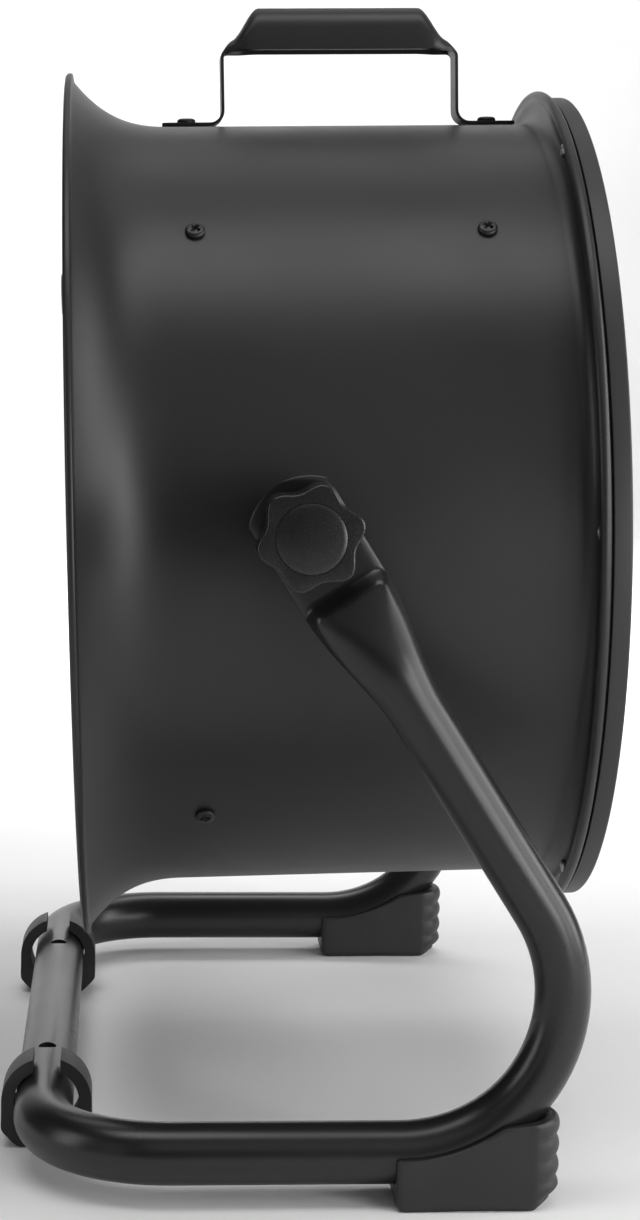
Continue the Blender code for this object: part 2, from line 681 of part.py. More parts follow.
def motor_half(name, end_x, joint_x):
    """A cup with a bearing seat at its end and a flange at the joint."""
    way = 1 if joint_x > end_x else -1
    wall = MOTOR_SHELL_T
    seat_end = end_x + way * (BEARING_LENGTH + 2 * MM)
    profile = [
        (end_x, SHAFT_R + 1.2 * MM),
        (end_x, MOTOR_R - 8 * MM),
        (end_x + way * 2.5 * MM, MOTOR_R - 2.5 * MM),
        (end_x + way * 8 * MM, MOTOR_R),
        (joint_x - way * wall, MOTOR_R),
        (joint_x - way * wall, MOTOR_FLANGE_R),
        (joint_x, MOTOR_FLANGE_R),
        (joint_x, MOTOR_R - wall),
        (end_x + way * 9 * MM, MOTOR_R - wall),
        (end_x + way * wall, MOTOR_R - 10 * MM),
        (end_x + way * wall, BEARING_R + 3 * MM),
        (seat_end, BEARING_R + 3 * MM),
        (seat_end, BEARING_R + GAP),
        (end_x + way * 1.5 * MM, BEARING_R + GAP),
        (end_x + way * 1.5 * MM, SHAFT_R + 1.2 * MM),
    ]
    return turned(name, profile, MOTOR_PAINT, segments=24)


def make_motor_bracket():
    """Ring on the motor's flange with four arms, each ending in a foot along the drum wall."""
    back, front = REAR_SCREW_X - STRUT_T / 2, REAR_SCREW_X + STRUT_T / 2
    foot_r = DRUM_R - SHEET - 0.9 * MM
    bore = MOTOR_R + 1.0 * MM
    ring = [(back, bore), (back, MOTOR_FLANGE_R), (front, MOTOR_FLANGE_R), (front, bore)]
    bracket = turned("motor_bracket", ring, BLACK_STEEL, segments=32)
    outline = [
        (back, MOTOR_FLANGE_R - 5 * MM),
        (front, MOTOR_FLANGE_R - 5 * MM),
        (front, foot_r - 8 * MM),
        (front + 12 * MM, foot_r - STRUT_T),
        (front + 12 * MM, foot_r),
        (back - 12 * MM, foot_r),
        (back - 12 * MM, foot_r - STRUT_T),
        (back, foot_r - 8 * MM),
    ]
    arms = []
    for angle in SCREW_ANGLES:
        place = radial_place(angle, STRUT_HALF_W)
        arms.append(prism("cutter", outline, 2 * STRUT_HALF_W, place, BLACK_STEEL, AXIS))
    boolean(bracket, arms, "UNION")
    holes = [wall_frame(REAR_SCREW_X, angle, foot_r) for angle in SCREW_ANGLES]
    return boolean(bracket, [hole_group(holes, 2.4 * MM, 8 * MM, 8)])


def make_motor():
    rear_joint = REAR_SCREW_X - STRUT_T / 2 - GAP
    front_joint = REAR_SCREW_X + STRUT_T / 2 + GAP
    motor_half("motor_rear_cover", MOTOR_REAR_X, rear_joint)
    motor_half("motor_front_cover", MOTOR_FRONT_X, front_joint)
    stator_r = MOTOR_R - MOTOR_SHELL_T - GAP
    ring = [(-64 * MM, 30.5 * MM), (-64 * MM, stator_r), (-22 * MM, stator_r), (-22 * MM, 30.5 * MM)]
    turned("stator", ring, LAMINATION, segments=24)
    seat = 1.8 * MM
    starts = (MOTOR_REAR_X + seat, MOTOR_FRONT_X - seat - BEARING_LENGTH)
    for name, start in zip(("rear_bearing", "front_bearing"), starts):
        end = start + BEARING_LENGTH
        race = [(start, SHAFT_R + GAP), (start, BEARING_R), (end, BEARING_R), (end, SHAFT_R + GAP)]
        turned(name, race, ZINC, segments=16)
    make_motor_bracket()


# --- rotor ----------------------------------------------------------------------------------
HUB_R = 16.0 * MM
HUB_FLANGE_X = 44.0 * MM
HUB_FLANGE_R = 30.0 * MM
SPIDER_R = 34.0 * MM
BLADE_T = 1.4 * MM
ARM_T = 3.0 * MM
ARM_WIDTH = 18.0 * MM
ARM_END_R = 82.0 * MM
ARM_CLEARANCE = 6.5 * MM             # deepest bow of a blade over its arm


def make_rotor():
    core = SHAFT_R + GAP
    rotor_ring = [(-62 * MM, core), (-62 * MM, 29.5 * MM), (-24 * MM, 29.5 * MM), (-24 * MM, core)]
    turned("rotor_core", rotor_ring, LAMINATION, ROTOR, 20)
    shaft_end = 66 * MM
    shaft = [(-77 * MM, 0), (-77 * MM, SHAFT_R), (shaft_end - 1 * MM, SHAFT_R)]
    shaft += [(shaft_end, SHAFT_R - 1 * MM), (shaft_end, 0)]
    turned("motor_shaft", shaft, ZINC, ROTOR, 16)
    flange_end = HUB_FLANGE_X + 3 * MM
    hub = [(28 * MM, core), (28 * MM, HUB_R), (HUB_FLANGE_X, HUB_R), (HUB_FLANGE_X, HUB_FLANGE_R),
           (flange_end, HUB_FLANGE_R), (flange_end, HUB_R), (60 * MM, HUB_R), (60 * MM, core)]
    turned("fan_hub", hub, ALUMINIUM, ROTOR, 20)


def blade_frame(angle, radius, pitch):
    """Frame on a blade: x along the chord from trailing to leading edge, y its outlet face, z outwards."""
    outward = Vector((0, math.cos(angle), math.sin(angle)))
    axial = Vector((1, 0, 0))
    tangent = axial.cross(outward)
    chord = tangent * math.cos(pitch) - axial * math.sin(pitch)
    face = outward.cross(chord)
    rot = Matrix((chord, face, outward)).transposed().to_4x4()
    return Matrix.Translation(Vector((BLADE_X, 0, 0)) + outward * radius) @ rot


def blade_angle(index):
    return 2 * math.pi * index / BLADE_COUNT + math.radians(20)


def blade_pitch(radius):
    t = (radius - BLADE_ROOT_R) / (BLADE_TIP_R - BLADE_ROOT_R)
    return mix(math.radians(36), math.radians(21), t)


def make_blade(index):
    """Cambered aluminium blade with rounded corners, widest past the middle."""
    angle = blade_angle(index)
    rows, columns = 7, 6
    rings = []
    for i in range(rows + 1):
        t = i / rows
        radius = mix(BLADE_ROOT_R + 6 * MM, BLADE_TIP_R, t)
        half = mix(26 * MM, 62 * MM, smoothstep(t * 1.25)) * (1 - 0.22 * smoothstep((t - 0.8) / 0.2))
        camber = 5 * MM * math.sin(math.pi * min(1.0, t + 0.15) / 1.3)
        place = blade_frame(angle, radius, blade_pitch(radius))
        front, back = [], []
        for j in range(columns + 1):
            w = 2 * j / columns - 1
            bow = camber * (1 - w * w)
            front.append(place @ Vector((half * w, BLADE_T / 2 - bow, 0)))
            back.append(place @ Vector((half * w, -BLADE_T / 2 - bow, 0)))
        rings.append(front + list(reversed(back)))
    bm = bmesh.new()
    loft(bm, rings)
    return finish_mesh(f"fan_blade_{index + 1}", bm, ALUMINIUM, ROTOR)


def make_spider():
    """Steel plate on the hub with a twisted arm under each blade."""
    front = HUB_FLANGE_X - GAP
    ring = [(front - ARM_T, HUB_R + GAP), (front - ARM_T, SPIDER_R), (front, SPIDER_R), (front, HUB_R + GAP)]
    plate = turned("fan_spider", ring, ZINC, ROTOR, 24)
    arms = []
    for index in range(BLADE_COUNT):
        angle = blade_angle(index)
        rings = []
        for radius in (SPIDER_R - 5 * MM, BLADE_ROOT_R + 8 * MM, ARM_END_R):
            flat = radius < SPIDER_R
            pitch = 0.0 if flat else blade_pitch(radius)
            offset = front - ARM_T / 2 - BLADE_X if flat else -ARM_T / 2 - ARM_CLEARANCE
            place = blade_frame(angle, radius, pitch)
            rings.append([place @ Vector((v, u + offset, 0)) for u, v in rectangle(ARM_T, ARM_WIDTH)])
        bm = bmesh.new()
        loft(bm, rings)
        arms.append(finish_mesh("cutter", bm, ZINC, ROTOR))
    return boolean(plate, arms, "UNION")


# --- controls ---------------------------------------------------------------------------
BOX_X = (-88.0 * MM, -54.0 * MM)
BOX_HALF_W = 34.0 * MM
BOX_R = (74.0 * MM, 136.0 * MM)


def make_controls():
    """Moulded switch box behind the inlet guard, with its lid, switch and capacitor."""
    wall = 2.5 * MM
    depth = BOX_X[1] - BOX_X[0]
    middle = (BOX_R[0] + BOX_R[1]) / 2
    height = BOX_R[1] - BOX_R[0]
    outer = rectangle(2 * BOX_HALF_W, height)
    inner = rectangle(2 * BOX_HALF_W - 2 * wall, height - 2 * wall)
    base = facing((BOX_X[0], 0, middle), (1, 0, 0), (0, 0, 1))
    box = prism("switch_box", outer, depth - 2.5 * MM, base, PLASTIC, AXIS)
    hollow = prism("cutter", inner, depth, base @ Matrix.Translation((0, 0, wall)), PLASTIC, AXIS)
    stem = hole_group([facing((BOX_X[0], 0, SPEED_KNOB_RADIUS), (1, 0, 0))], 4.2 * MM, 8 * MM)
    gland_hole = hole_group([facing((-72 * MM, BOX_HALF_W, middle), (0, 1, 0))], 6.0 * MM, 8 * MM, 12)
    boolean(box, [hollow, stem, gland_hole])
    lid_place = facing((BOX_X[1] - 2.2 * MM, 0, middle), (1, 0, 0))
    prism("switch_box_lid", outer, 2.2 * MM, lid_place, PLASTIC, AXIS)
    switch_x = BOX_X[0] + wall + GAP
    body = prism("rotary_switch", rectangle(24 * MM, 22 * MM), 18 * MM,
                 facing((switch_x, 0, SPEED_KNOB_RADIUS), (1, 0, 0)), PLASTIC, AXIS)
    shaft_hole = hole_group([facing((switch_x, 0, SPEED_KNOB_RADIUS), (1, 0, 0))], 3.3 * MM, 9 * MM)
    boolean(body, [shaft_hole])
    prism("run_capacitor", rectangle(46 * MM, 14 * MM), 22 * MM,
          facing((BOX_X[0] + wall + GAP, 0, BOX_R[1] - 11 * MM), (1, 0, 0)), CAPACITOR, AXIS)
    gland = [(-6 * MM, 4.0 * MM), (-6 * MM, 5.6 * MM), (GAP, 5.6 * MM), (GAP, 9 * MM), (6 * MM, 9 * MM),
             (9 * MM, 7 * MM), (9 * MM, 4.0 * MM)]
    piece = turned("cord_gland", gland, PLASTIC, segments=12)
    piece.location = (-72 * MM, BOX_HALF_W, middle)
    piece.rotation_euler = (0, 0, math.pi / 2)


def make_speed_knob():
    """Ribbed control knob, with its stem through the guard into the switch."""
    front, back = -106.5 * MM, -98.3 * MM
    bm = bmesh.new()
    sides = 36
    rings = []
    stations = ((front, 0.86), (front + 1.6 * MM, 1.0), (back, 1.0))
    for x, scale in stations:
        ring = []
        for k in range(sides):
            a = 2 * math.pi * k / sides
            r = SPEED_KNOB_R * scale * (1.0 if k % 2 else 0.955)
            ring.append(Vector((x, r * math.cos(a), r * math.sin(a))))
        rings.append(ring)
    loft(bm, rings)
    knob = finish_mesh("speed_knob", bm, PLASTIC, SPEED)
    bore = cylinder_cutter(SPEED, (back - 5 * MM, 0, 0), (back + 5 * MM, 0, 0), 3.3 * MM, 12)
    boolean(knob, [bore])
    stem_end = BOX_X[0] + 8 * MM
    stem = [(back - 4.6 * MM, 0), (back - 4.6 * MM, 3.0 * MM), (stem_end, 3.0 * MM), (stem_end, 0)]
    turned("speed_knob_stem", stem, ZINC, SPEED, 12)


# --- tilt pivots --------------------------------------------------------------------------
BOSS_R = 18.0 * MM
PADDLE_IN = PADDLE_Y - PADDLE_HALF_T
PADDLE_OUT = PADDLE_Y + PADDLE_HALF_T
FRICTION_T = 1.4 * MM
WASHER_T = 1.6 * MM
KNOB_DEPTH = 24.0 * MM
KNOB_BASE = PADDLE_OUT + GAP + WASHER_T + GAP
KNOB_CAP_R = 15.0 * MM


def side_turned(name, side, profile, mat, parent, segments=16):
    """Turn an outline of (distance from the middle plane, radius) about the tilt axis."""
    piece = turned(name, profile, mat, parent, segments)
    piece.data.transform(Matrix.Rotation(side * math.pi / 2, 4, "Z"))
    return piece


def ring_outline(start, end, inner, outer):
    return [(start, inner), (start, outer), (end, outer), (end, inner)]


def knob_radius(a):
    """Six soft lobes with wider valleys."""
    wave = 0.5 + 0.5 * math.cos(KNOB_LOBES * (a - KNOB_PHASE))
    return mix(KNOB_VALLEY_R, KNOB_LOBE_R, wave ** 1.1)


def make_tilt_knob(name, side, parent):
    """Star knob with a raised cap and a blind socket for its stud."""
    sides = 48
    stations = ((0.0, 0.90), (2.0 * MM, 1.0), (KNOB_DEPTH - 3.2 * MM, 1.0), (KNOB_DEPTH - 2.0 * MM, 0.94))
    rings = []
    for depth, scale in stations:
        ring = []
        for k in range(sides):
            a = 2 * math.pi * k / sides
            r = knob_radius(a) * scale
            ring.append(Vector((-side * r * math.cos(a), side * depth, r * math.sin(a))))
        rings.append(ring)
    for depth, radius in ((KNOB_DEPTH - 2.0 * MM, KNOB_CAP_R), (KNOB_DEPTH, KNOB_CAP_R * 0.97)):
        rings.append([Vector((-side * u, side * depth, v)) for u, v in circle(radius, sides)])
    bm = bmesh.new()
    loft(bm, rings)
    knob = finish_mesh(name, bm, PLASTIC, parent)
    socket = cylinder_cutter(parent, (0, -side * 3 * MM, 0), (0, side * 9 * MM, 0), STUD_R + GAP, 12)
    return boolean(knob, [socket])


def make_pivot(word, side):
    """Everything on the tilt axis at one side of the drum."""
    washer_in = PADDLE_IN - FRICTION_T - GAP
    boss = ring_outline(DRUM_R + GAP, washer_in - GAP, STUD_HOLE_R, BOSS_R)
    side_turned(f"pivot_boss_{word}", side, boss, BLACK_STEEL, DRUM)
    washer = ring_outline(washer_in, PADDLE_IN - GAP, STUD_HOLE_R, BOSS_R)
    side_turned(f"friction_washer_{word}", side, washer, RUBBER, DRUM)
    plate_out = 183.5 * MM
    plate = prism(f"pivot_plate_{word}", rectangle(50 * MM, 46 * MM), 2.0 * MM,
                  facing((0, side * plate_out, 0), (0, -side, 0)), ZINC, DRUM)
    hole = cylinder_cutter(DRUM, (0, side * 170 * MM, 0), (0, side * 190 * MM, 0), STUD_HOLE_R, 12)
    boolean(plate, [hole])
    nut_out = plate_out - 2.0 * MM - GAP
    nut = prism(f"pivot_nut_{word}", circle(7.5 * MM, 6), 6.5 * MM,
                facing((0, side * nut_out, 0), (0, -side, 0)), ZINC, DRUM)
    hole = cylinder_cutter(DRUM, (0, side * 165 * MM, 0), (0, side * 190 * MM, 0), STUD_R + GAP, 12)
    boolean(nut, [hole])
    clamp = frame_empty(f"knob_frame_{word}", (0, side * KNOB_BASE, 0), parent=DRUM)
    flat_washer = ring_outline(-GAP - WASHER_T, -GAP, STUD_HOLE_R, 14 * MM)
    side_turned(f"knob_washer_{word}", side, flat_washer, ZINC, clamp)
    make_tilt_knob(f"tilt_knob_{word}", side, clamp)
    stud_in, stud_out = 172 * MM - KNOB_BASE, 8.4 * MM
    stud = [(stud_in, 0), (stud_in, STUD_R - 0.6 * MM), (stud_in + 0.8 * MM, STUD_R)]
    stud += [(stud_out, STUD_R), (stud_out, 0)]
    side_turned(f"knob_stud_{word}", side, stud, ZINC, clamp)


def make_object():
    make_stand_tube()
    for word, side in (("right", -1), ("left", 1)):
        make_boot(f"boot_{word}", side)
        make_clip(f"clip_foot_{word}", side)
    drum = make_drum()
    wall_places = [wall_frame(x, a, DRUM_R) for x in (REAR_SCREW_X, FRONT_SCREW_X) for a in SCREW_ANGLES]
    wall_places += [facing((x, 0, DRUM_R), (0, 0, 1), (1, 0, 0)) for x in HANDLE_SCREW_X]
    boolean(drum, [hole_group(wall_places, 2.4 * MM, 6 * MM, 8)])
    make_wall_screws()
    make_handle()
    make_handle_screws()
    make_guard_band()
    make_guard("front_guard", FRONT_RING_X, FRONT_RINGS, FRONT_RIB_X, FRONT_RIB_SPAN, 8)
    make_badge("front_badge", FRONT_RING_X + WIRE_R + GAP, 2.4 * MM)
    make_guard_brackets()
    make_guard("rear_guard", REAR_RING_X, REAR_RINGS, REAR_RIB_X, REAR_RIB_SPAN, 8, math.radians(22.5))
    make_motor()
    make_rotor()
    make_spider()
    for index in range(BLADE_COUNT):
        make_blade(index)
    make_controls()
    make_speed_knob()
    for word, side in (("right", -1), ("left", 1)):
        make_pivot(word, side)


make_object()
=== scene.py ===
import json
import math

import bmesh
import bpy
from mathutils import Matrix, Vector


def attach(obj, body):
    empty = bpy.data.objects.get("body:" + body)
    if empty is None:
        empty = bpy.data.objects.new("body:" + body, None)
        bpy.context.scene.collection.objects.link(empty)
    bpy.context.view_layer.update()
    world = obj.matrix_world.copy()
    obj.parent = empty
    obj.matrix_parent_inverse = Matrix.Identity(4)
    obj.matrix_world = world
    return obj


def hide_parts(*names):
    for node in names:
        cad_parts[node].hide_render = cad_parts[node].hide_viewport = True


# Looks of the tilting drum fan. Everything is in metres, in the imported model's frame:
# +X is the way the air leaves, +Z is up, the floor is z = 0.
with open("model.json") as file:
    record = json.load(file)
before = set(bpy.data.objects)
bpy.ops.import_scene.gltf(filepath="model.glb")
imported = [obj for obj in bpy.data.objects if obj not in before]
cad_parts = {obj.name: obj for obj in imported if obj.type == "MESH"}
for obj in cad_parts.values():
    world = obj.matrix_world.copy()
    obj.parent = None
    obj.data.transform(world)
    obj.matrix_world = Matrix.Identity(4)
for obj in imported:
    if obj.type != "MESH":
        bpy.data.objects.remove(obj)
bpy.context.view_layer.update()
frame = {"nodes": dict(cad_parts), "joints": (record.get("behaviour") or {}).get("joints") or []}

MM = 0.001
JOINTS = {joint["name"]: joint for joint in frame["joints"]}
PIVOT = Vector(JOINTS["drum_tilt"]["pos_m"])
FAN_POINT = Vector(JOINTS["fan_spin"]["pos_m"])
FAN_AXIS = Vector(JOINTS["fan_spin"]["axis"]).normalized()
KNOB_POINT = Vector(JOINTS["speed_turn"]["pos_m"])
SIDES = (("right", -1), ("left", 1))


def axes_at(point):
    """Frame with x along the fan axis and y level across the machine."""
    across = Vector((0, 1, 0))
    rot = Matrix((FAN_AXIS, across, FAN_AXIS.cross(across))).transposed().to_4x4()
    return Matrix.Translation(point) @ rot


AXIS = axes_at(FAN_POINT)
TILT = axes_at(PIVOT)
SPEED = axes_at(KNOB_POINT)
WORLD = Matrix.Identity(4)


def local_box(node, place):
    """Corners of a CAD node's box in a frame of its own."""
    inverse = place.inverted()
    points = [inverse @ v.co for v in frame["nodes"][node].data.vertices]
    low = Vector([min(p[i] for p in points) for i in range(3)])
    high = Vector([max(p[i] for p in points) for i in range(3)])
    return low, high


# --- driving dimensions, the same as the CAD model's -------------------------------------
GAP = 0.3 * MM
DRUM_R = 187.5 * MM
SHEET = 1.2 * MM
REAR_RIM_X = -99.5 * MM
REAR_RIM_R = 211.5 * MM
BEAD_R = 2.0 * MM
BELL_LENGTH = 50.0 * MM
BELL_POWER = 2.8
FLANGE_X = 130.0 * MM
FLANGE_FILLET = 7.0 * MM
FLANGE_R = 201.0 * MM
FLANGE_BEAD_R = 2.6 * MM
BAND_R = 200.4 * MM
BAND_REAR_X = 134.3 * MM
BAND_FRONT_X = 142.8 * MM

LEG_HALF = (12.3 * MM, 12.7 * MM)
LOOP_HALF = (13.7 * MM, 13.3 * MM)
TUBE_Y = 217.2 * MM
TUBE_Z = 21.4 * MM
CROSS_X = -112.3 * MM
LEG_ANGLE = math.radians(32.6)
LEG_BEND_R = 70.3 * MM
CORNER_R = 57.0 * MM
PADDLE_HALF_W = 20.1 * MM
PADDLE_END_R = 26.7 * MM
PADDLE_END_S = 1.9 * MM              # the end's arc is centred this far down the leg
PADDLE_HALF_T = 1.7 * MM
PADDLE_Y = 208.7 * MM
PADDLE_LENGTH = 31.4 * MM
CRUSH_WIDE_END = 90.4 * MM

STUD_R = 4.0 * MM
STUD_HOLE_R = 4.6 * MM
THREAD_PITCH = 1.25 * MM
KNOB_LOBE_R = 23.2 * MM
KNOB_VALLEY_R = 19.3 * MM
KNOB_LOBES = 6
KNOB_PHASE = math.radians(14.6)
REAR_SCREW_X = -43.0 * MM
FRONT_SCREW_X = 89.0 * MM
SCREW_ANGLES = tuple(math.radians(a) for a in (45, 135, 225, 315))
FLANGE_SCREW_R = 195.5 * MM
FLANGE_SCREWS = 6


# --- materials --------------------------------------------------------------------------
def shader_material(name, metallic=0.0, specular=0.5):
    """A Principled material; what is the same all over goes straight on its sockets."""
    mat = bpy.data.materials.new(name)
    mat.use_nodes = True
    shader = mat.node_tree.nodes["Principled BSDF"]
    shader.inputs["Metallic"].default_value = metallic
    shader.inputs["Specular IOR Level"].default_value = specular
    return mat, mat.node_tree, shader


def add_node(tree, kind, inputs):
    """A shader node whose inputs are set to values or linked to other nodes' outputs."""
    node = tree.nodes.new(kind)
    for key, value in inputs.items():
        if isinstance(value, bpy.types.NodeSocket):
            tree.links.new(value, node.inputs[key])
        else:
            node.inputs[key].default_value = value
    return node


def noise(tree, coords, scale, detail=3.0, roughness=0.55):
    """Value of a noise texture at coords."""
    settings = {"Scale": scale, "Detail": detail, "Roughness": roughness, "Vector": coords}
    return add_node(tree, "ShaderNodeTexNoise", settings).outputs["Fac"]


def ramp(tree, value, low, high, start=0.35, end=0.65):
    """Blend between two colours as value goes from start to end."""
    node = add_node(tree, "ShaderNodeValToRGB", {"Fac": value})
    for stop, position, color in zip(node.color_ramp.elements, (start, end), (low, high)):
        stop.position = position
        stop.color = (*color, 1.0)
    return node.outputs["Color"]


def spread(tree, value, low, high):
    """Map 0.3 .. 0.7 of a noise to low .. high."""
    settings = {"From Min": 0.3, "From Max": 0.7, "To Min": low, "To Max": high, "Value": value}
    return add_node(tree, "ShaderNodeMapRange", settings).outputs["Result"]


def bump(tree, height, strength, distance, under=None):
    """Normals of a fine relief, laid over another relief if under is given."""
    settings = {"Strength": strength, "Distance": distance, "Height": height}
    if under is not None:
        settings["Normal"] = under
    return add_node(tree, "ShaderNodeBump", settings).outputs["Normal"]


def object_coords(tree, stretch=None):
    """The piece's own coordinates, scaled per axis if stretch is given."""
    coords = add_node(tree, "ShaderNodeTexCoord", {}).outputs["Object"]
    if stretch is None:
        return coords
    return add_node(tree, "ShaderNodeMapping", {"Scale": stretch, "Vector": coords}).outputs["Vector"]


def dress(tree, shader, color, roughness, normal):
    """Link a material's three varying inputs."""
    for key, value in (("Base Color", color), ("Roughness", roughness), ("Normal", normal)):
        tree.links.new(value, shader.inputs[key])


def shades(color, dark, light):
    """A darker and a lighter shade of a colour."""
    return tuple(c * dark for c in color), tuple(min(1.0, c * light) for c in color)


def powder_coat(name, color, rough, grain=2300.0, grain_height=0.05):
    """Baked powder paint: fine grain, faint orange peel and slightly uneven gloss."""
    mat, tree, shader = shader_material(name)
    coords = object_coords(tree)
    fine = noise(tree, coords, grain, 2.0, 0.6)
    peel = noise(tree, coords, 320.0, 2.0, 0.5)
    cloud = noise(tree, coords, 14.0, 3.0, 0.5)
    dress(tree, shader, ramp(tree, fine, *shades(color, 0.82, 1.22), 0.3, 0.7),
          spread(tree, cloud, rough - 0.03, rough + 0.04),
          bump(tree, fine, 0.5, grain_height * MM, bump(tree, peel, 0.35, 0.03 * MM)))
    return mat


def moulded(name, color, rough, grain=1500.0, height=0.03):
    """Moulded plastic or rubber with a spark-eroded grain."""
    mat, tree, shader = shader_material(name)
    coords = object_coords(tree)
    grain_value = noise(tree, coords, grain, 3.0, 0.6)
    cloud = noise(tree, coords, 40.0, 3.0, 0.5)
    dress(tree, shader, ramp(tree, cloud, *shades(color, 0.86, 1.16)),
          spread(tree, grain_value, rough - 0.05, rough + 0.06), bump(tree, grain_value, 0.5, height * MM))
    return mat


def plated(name, color, rough, stretch, scratch=900.0, height=0.01, metallic=1.0):
    """Bare or plated metal with fine working marks drawn out along one direction."""
    mat, tree, shader = shader_material(name, metallic=metallic)
    streak = noise(tree, object_coords(tree, stretch), scratch, 4.0, 0.65)
    cloud = noise(tree, object_coords(tree), 60.0, 3.0, 0.5)
    dress(tree, shader, ramp(tree, cloud, *shades(color, 0.82, 1.12), 0.3, 0.7),
          spread(tree, streak, rough - 0.07, rough + 0.10), bump(tree, streak, 0.3, height * MM))
    return mat


def laminated(name, color, pitch):
    """A stack of varnished steel sheets, seen as fine rings along x."""
    mat, tree, shader = shader_material(name, metallic=0.8)
    settings = {"Scale": 0.314 / pitch, "Distortion": 0.0, "Vector": object_coords(tree)}
    wave = add_node(tree, "ShaderNodeTexWave", settings)
    wave.bands_direction = "X"
    bands = wave.outputs["Fac"]
    rust = noise(tree, object_coords(tree), 150.0)
    dress(tree, shader, ramp(tree, bands, *shades(color, 0.5, 1.0), 0.2, 0.6),
          spread(tree, rust, 0.42, 0.62), bump(tree, bands, 0.5, 0.1 * MM))
    return mat


DRUM_COAT = powder_coat("drum_powder_coat", (0.013, 0.013, 0.0133), 0.40)
TUBE_COAT = powder_coat("tube_powder_coat", (0.012, 0.012, 0.0122), 0.29, grain=1900.0)
BAND_COAT = powder_coat("guard_band_coat", (0.024, 0.024, 0.0244), 0.46, grain=2600.0)
HANDLE_COAT = powder_coat("handle_coat", (0.010, 0.010, 0.0102), 0.40)
WIRE_COAT = powder_coat("guard_wire_coat", (0.012, 0.012, 0.0122), 0.36, grain=2600.0, grain_height=0.02)
BRACKET_COAT = powder_coat("bracket_coat", (0.013, 0.013, 0.0133), 0.45)
MOTOR_COAT = powder_coat("motor_coat", (0.013, 0.013, 0.0133), 0.42, grain=1200.0)
RUBBER = moulded("foot_rubber", (0.016, 0.016, 0.0162), 0.48)
FRICTION_RUBBER = moulded("friction_washer_rubber", (0.012, 0.012, 0.012), 0.75)
KNOB_PLASTIC = moulded("knob_plastic", (0.014, 0.014, 0.0142), 0.26, grain=1800.0, height=0.008)
BOX_PLASTIC = moulded("box_plastic", (0.014, 0.014, 0.0142), 0.50)
BADGE_PLASTIC = moulded("badge_plastic", (0.015, 0.015, 0.0152), 0.40, grain=1200.0)
CAPACITOR_CASE = moulded("capacitor_case", (0.55, 0.55, 0.52), 0.45)
SCREW_STEEL = plated("black_oxide_screw", (0.035, 0.035, 0.036), 0.34, (1, 1, 1), metallic=0.6)
ZINC = plated("zinc_plate", (0.50, 0.50, 0.51), 0.32, (1, 0.05, 0.05))
BLADE_METAL = plated("blade_sheet", (0.60, 0.61, 0.62), 0.34, (0.08, 1, 1))
HUB_METAL = plated("cast_hub", (0.45, 0.45, 0.46), 0.42, (1, 1, 1), scratch=500.0, height=0.03)
LAMINATION = laminated("laminations", (0.26, 0.24, 0.22), 0.6 * MM)


# --- mesh helpers -----------------------------------------------------------------------
def linked(name, data):
    """A new object in the scene."""
    obj = bpy.data.objects.new(name, data)
    bpy.context.scene.collection.objects.link(obj)
    return obj


def mesh_of(name, bm):
    """A mesh made from a bmesh, which is freed."""
    mesh = bpy.data.meshes.new(name)
    bm.to_mesh(mesh)
    bm.free()
    return mesh


def add_piece(name, bm, mat, body, place=WORLD, stands_for=(), angle=40.0):
    """A finished piece: shaded, placed, given its material, and riding on its body."""
    bmesh.ops.recalc_face_normals(bm, faces=bm.faces[:])
    mesh = mesh_of(name, bm)
    mesh.materials.append(mat)
    mesh.shade_smooth()
    mesh.set_sharp_from_angle(angle=math.radians(angle))
    obj = linked(name, mesh)
    obj.matrix_world = place
    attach(obj, body)
    if stands_for:
        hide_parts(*stands_for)
    return obj


def add_bevel(obj, width, angle=35.0):
    """Ease the sharp edges with a bevel two segments wide."""
    mod = obj.modifiers.new("bevel", "BEVEL")
    mod.width = width
    mod.segments = 2
    mod.limit_method = "ANGLE"
    mod.angle_limit = math.radians(angle)


def skin(bm, rings):
    """Skin rings of equal length, with a cap at both ends."""
    loops = [[bm.verts.new(p) for p in ring] for ring in rings]
    count = len(loops[0])
    for low, high in zip(loops, loops[1:]):
        for i in range(count):
            j = (i + 1) % count
            bm.faces.new((low[i], low[j], high[j], high[i]))
    bm.faces.new(list(reversed(loops[0])))
    bm.faces.new(loops[-1])


def turn(bm, profile, segments, place=WORLD):
    """Turn a closed (x, r) outline about the x axis; r = 0 points become poles."""
    rings = []
    for x, r in profile:
        count = segments if r > 0 else 1
        rings.append([bm.verts.new(place @ Vector((x, u, v))) for u, v in circle(r, segments)[:count]])
    for low, high in zip(rings, rings[1:] + rings[:1]):
        if len(low) == 1 and len(high) == 1:
            continue
        for k in range(segments):
            n = (k + 1) % segments
            corners = [low[k % len(low)], low[n % len(low)], high[n % len(high)], high[k % len(high)]]
            bm.faces.new(list(dict.fromkeys(corners)))


def turned(name, profile, segments, mat, body, nodes, place=AXIS, angle=40.0):
    """A finished piece that is one closed outline turned about the x axis of its frame."""
    bm = bmesh.new()
    turn(bm, profile, segments)
    add_piece(name, bm, mat, body, place, nodes, angle)


def arc(center, radius, start, end, steps):
    """Points on an arc, angles in degrees."""
    angles = [math.radians(start + (end - start) * k / steps) for k in range(steps + 1)]
    return [(center[0] + radius * math.cos(a), center[1] + radius * math.sin(a)) for a in angles]


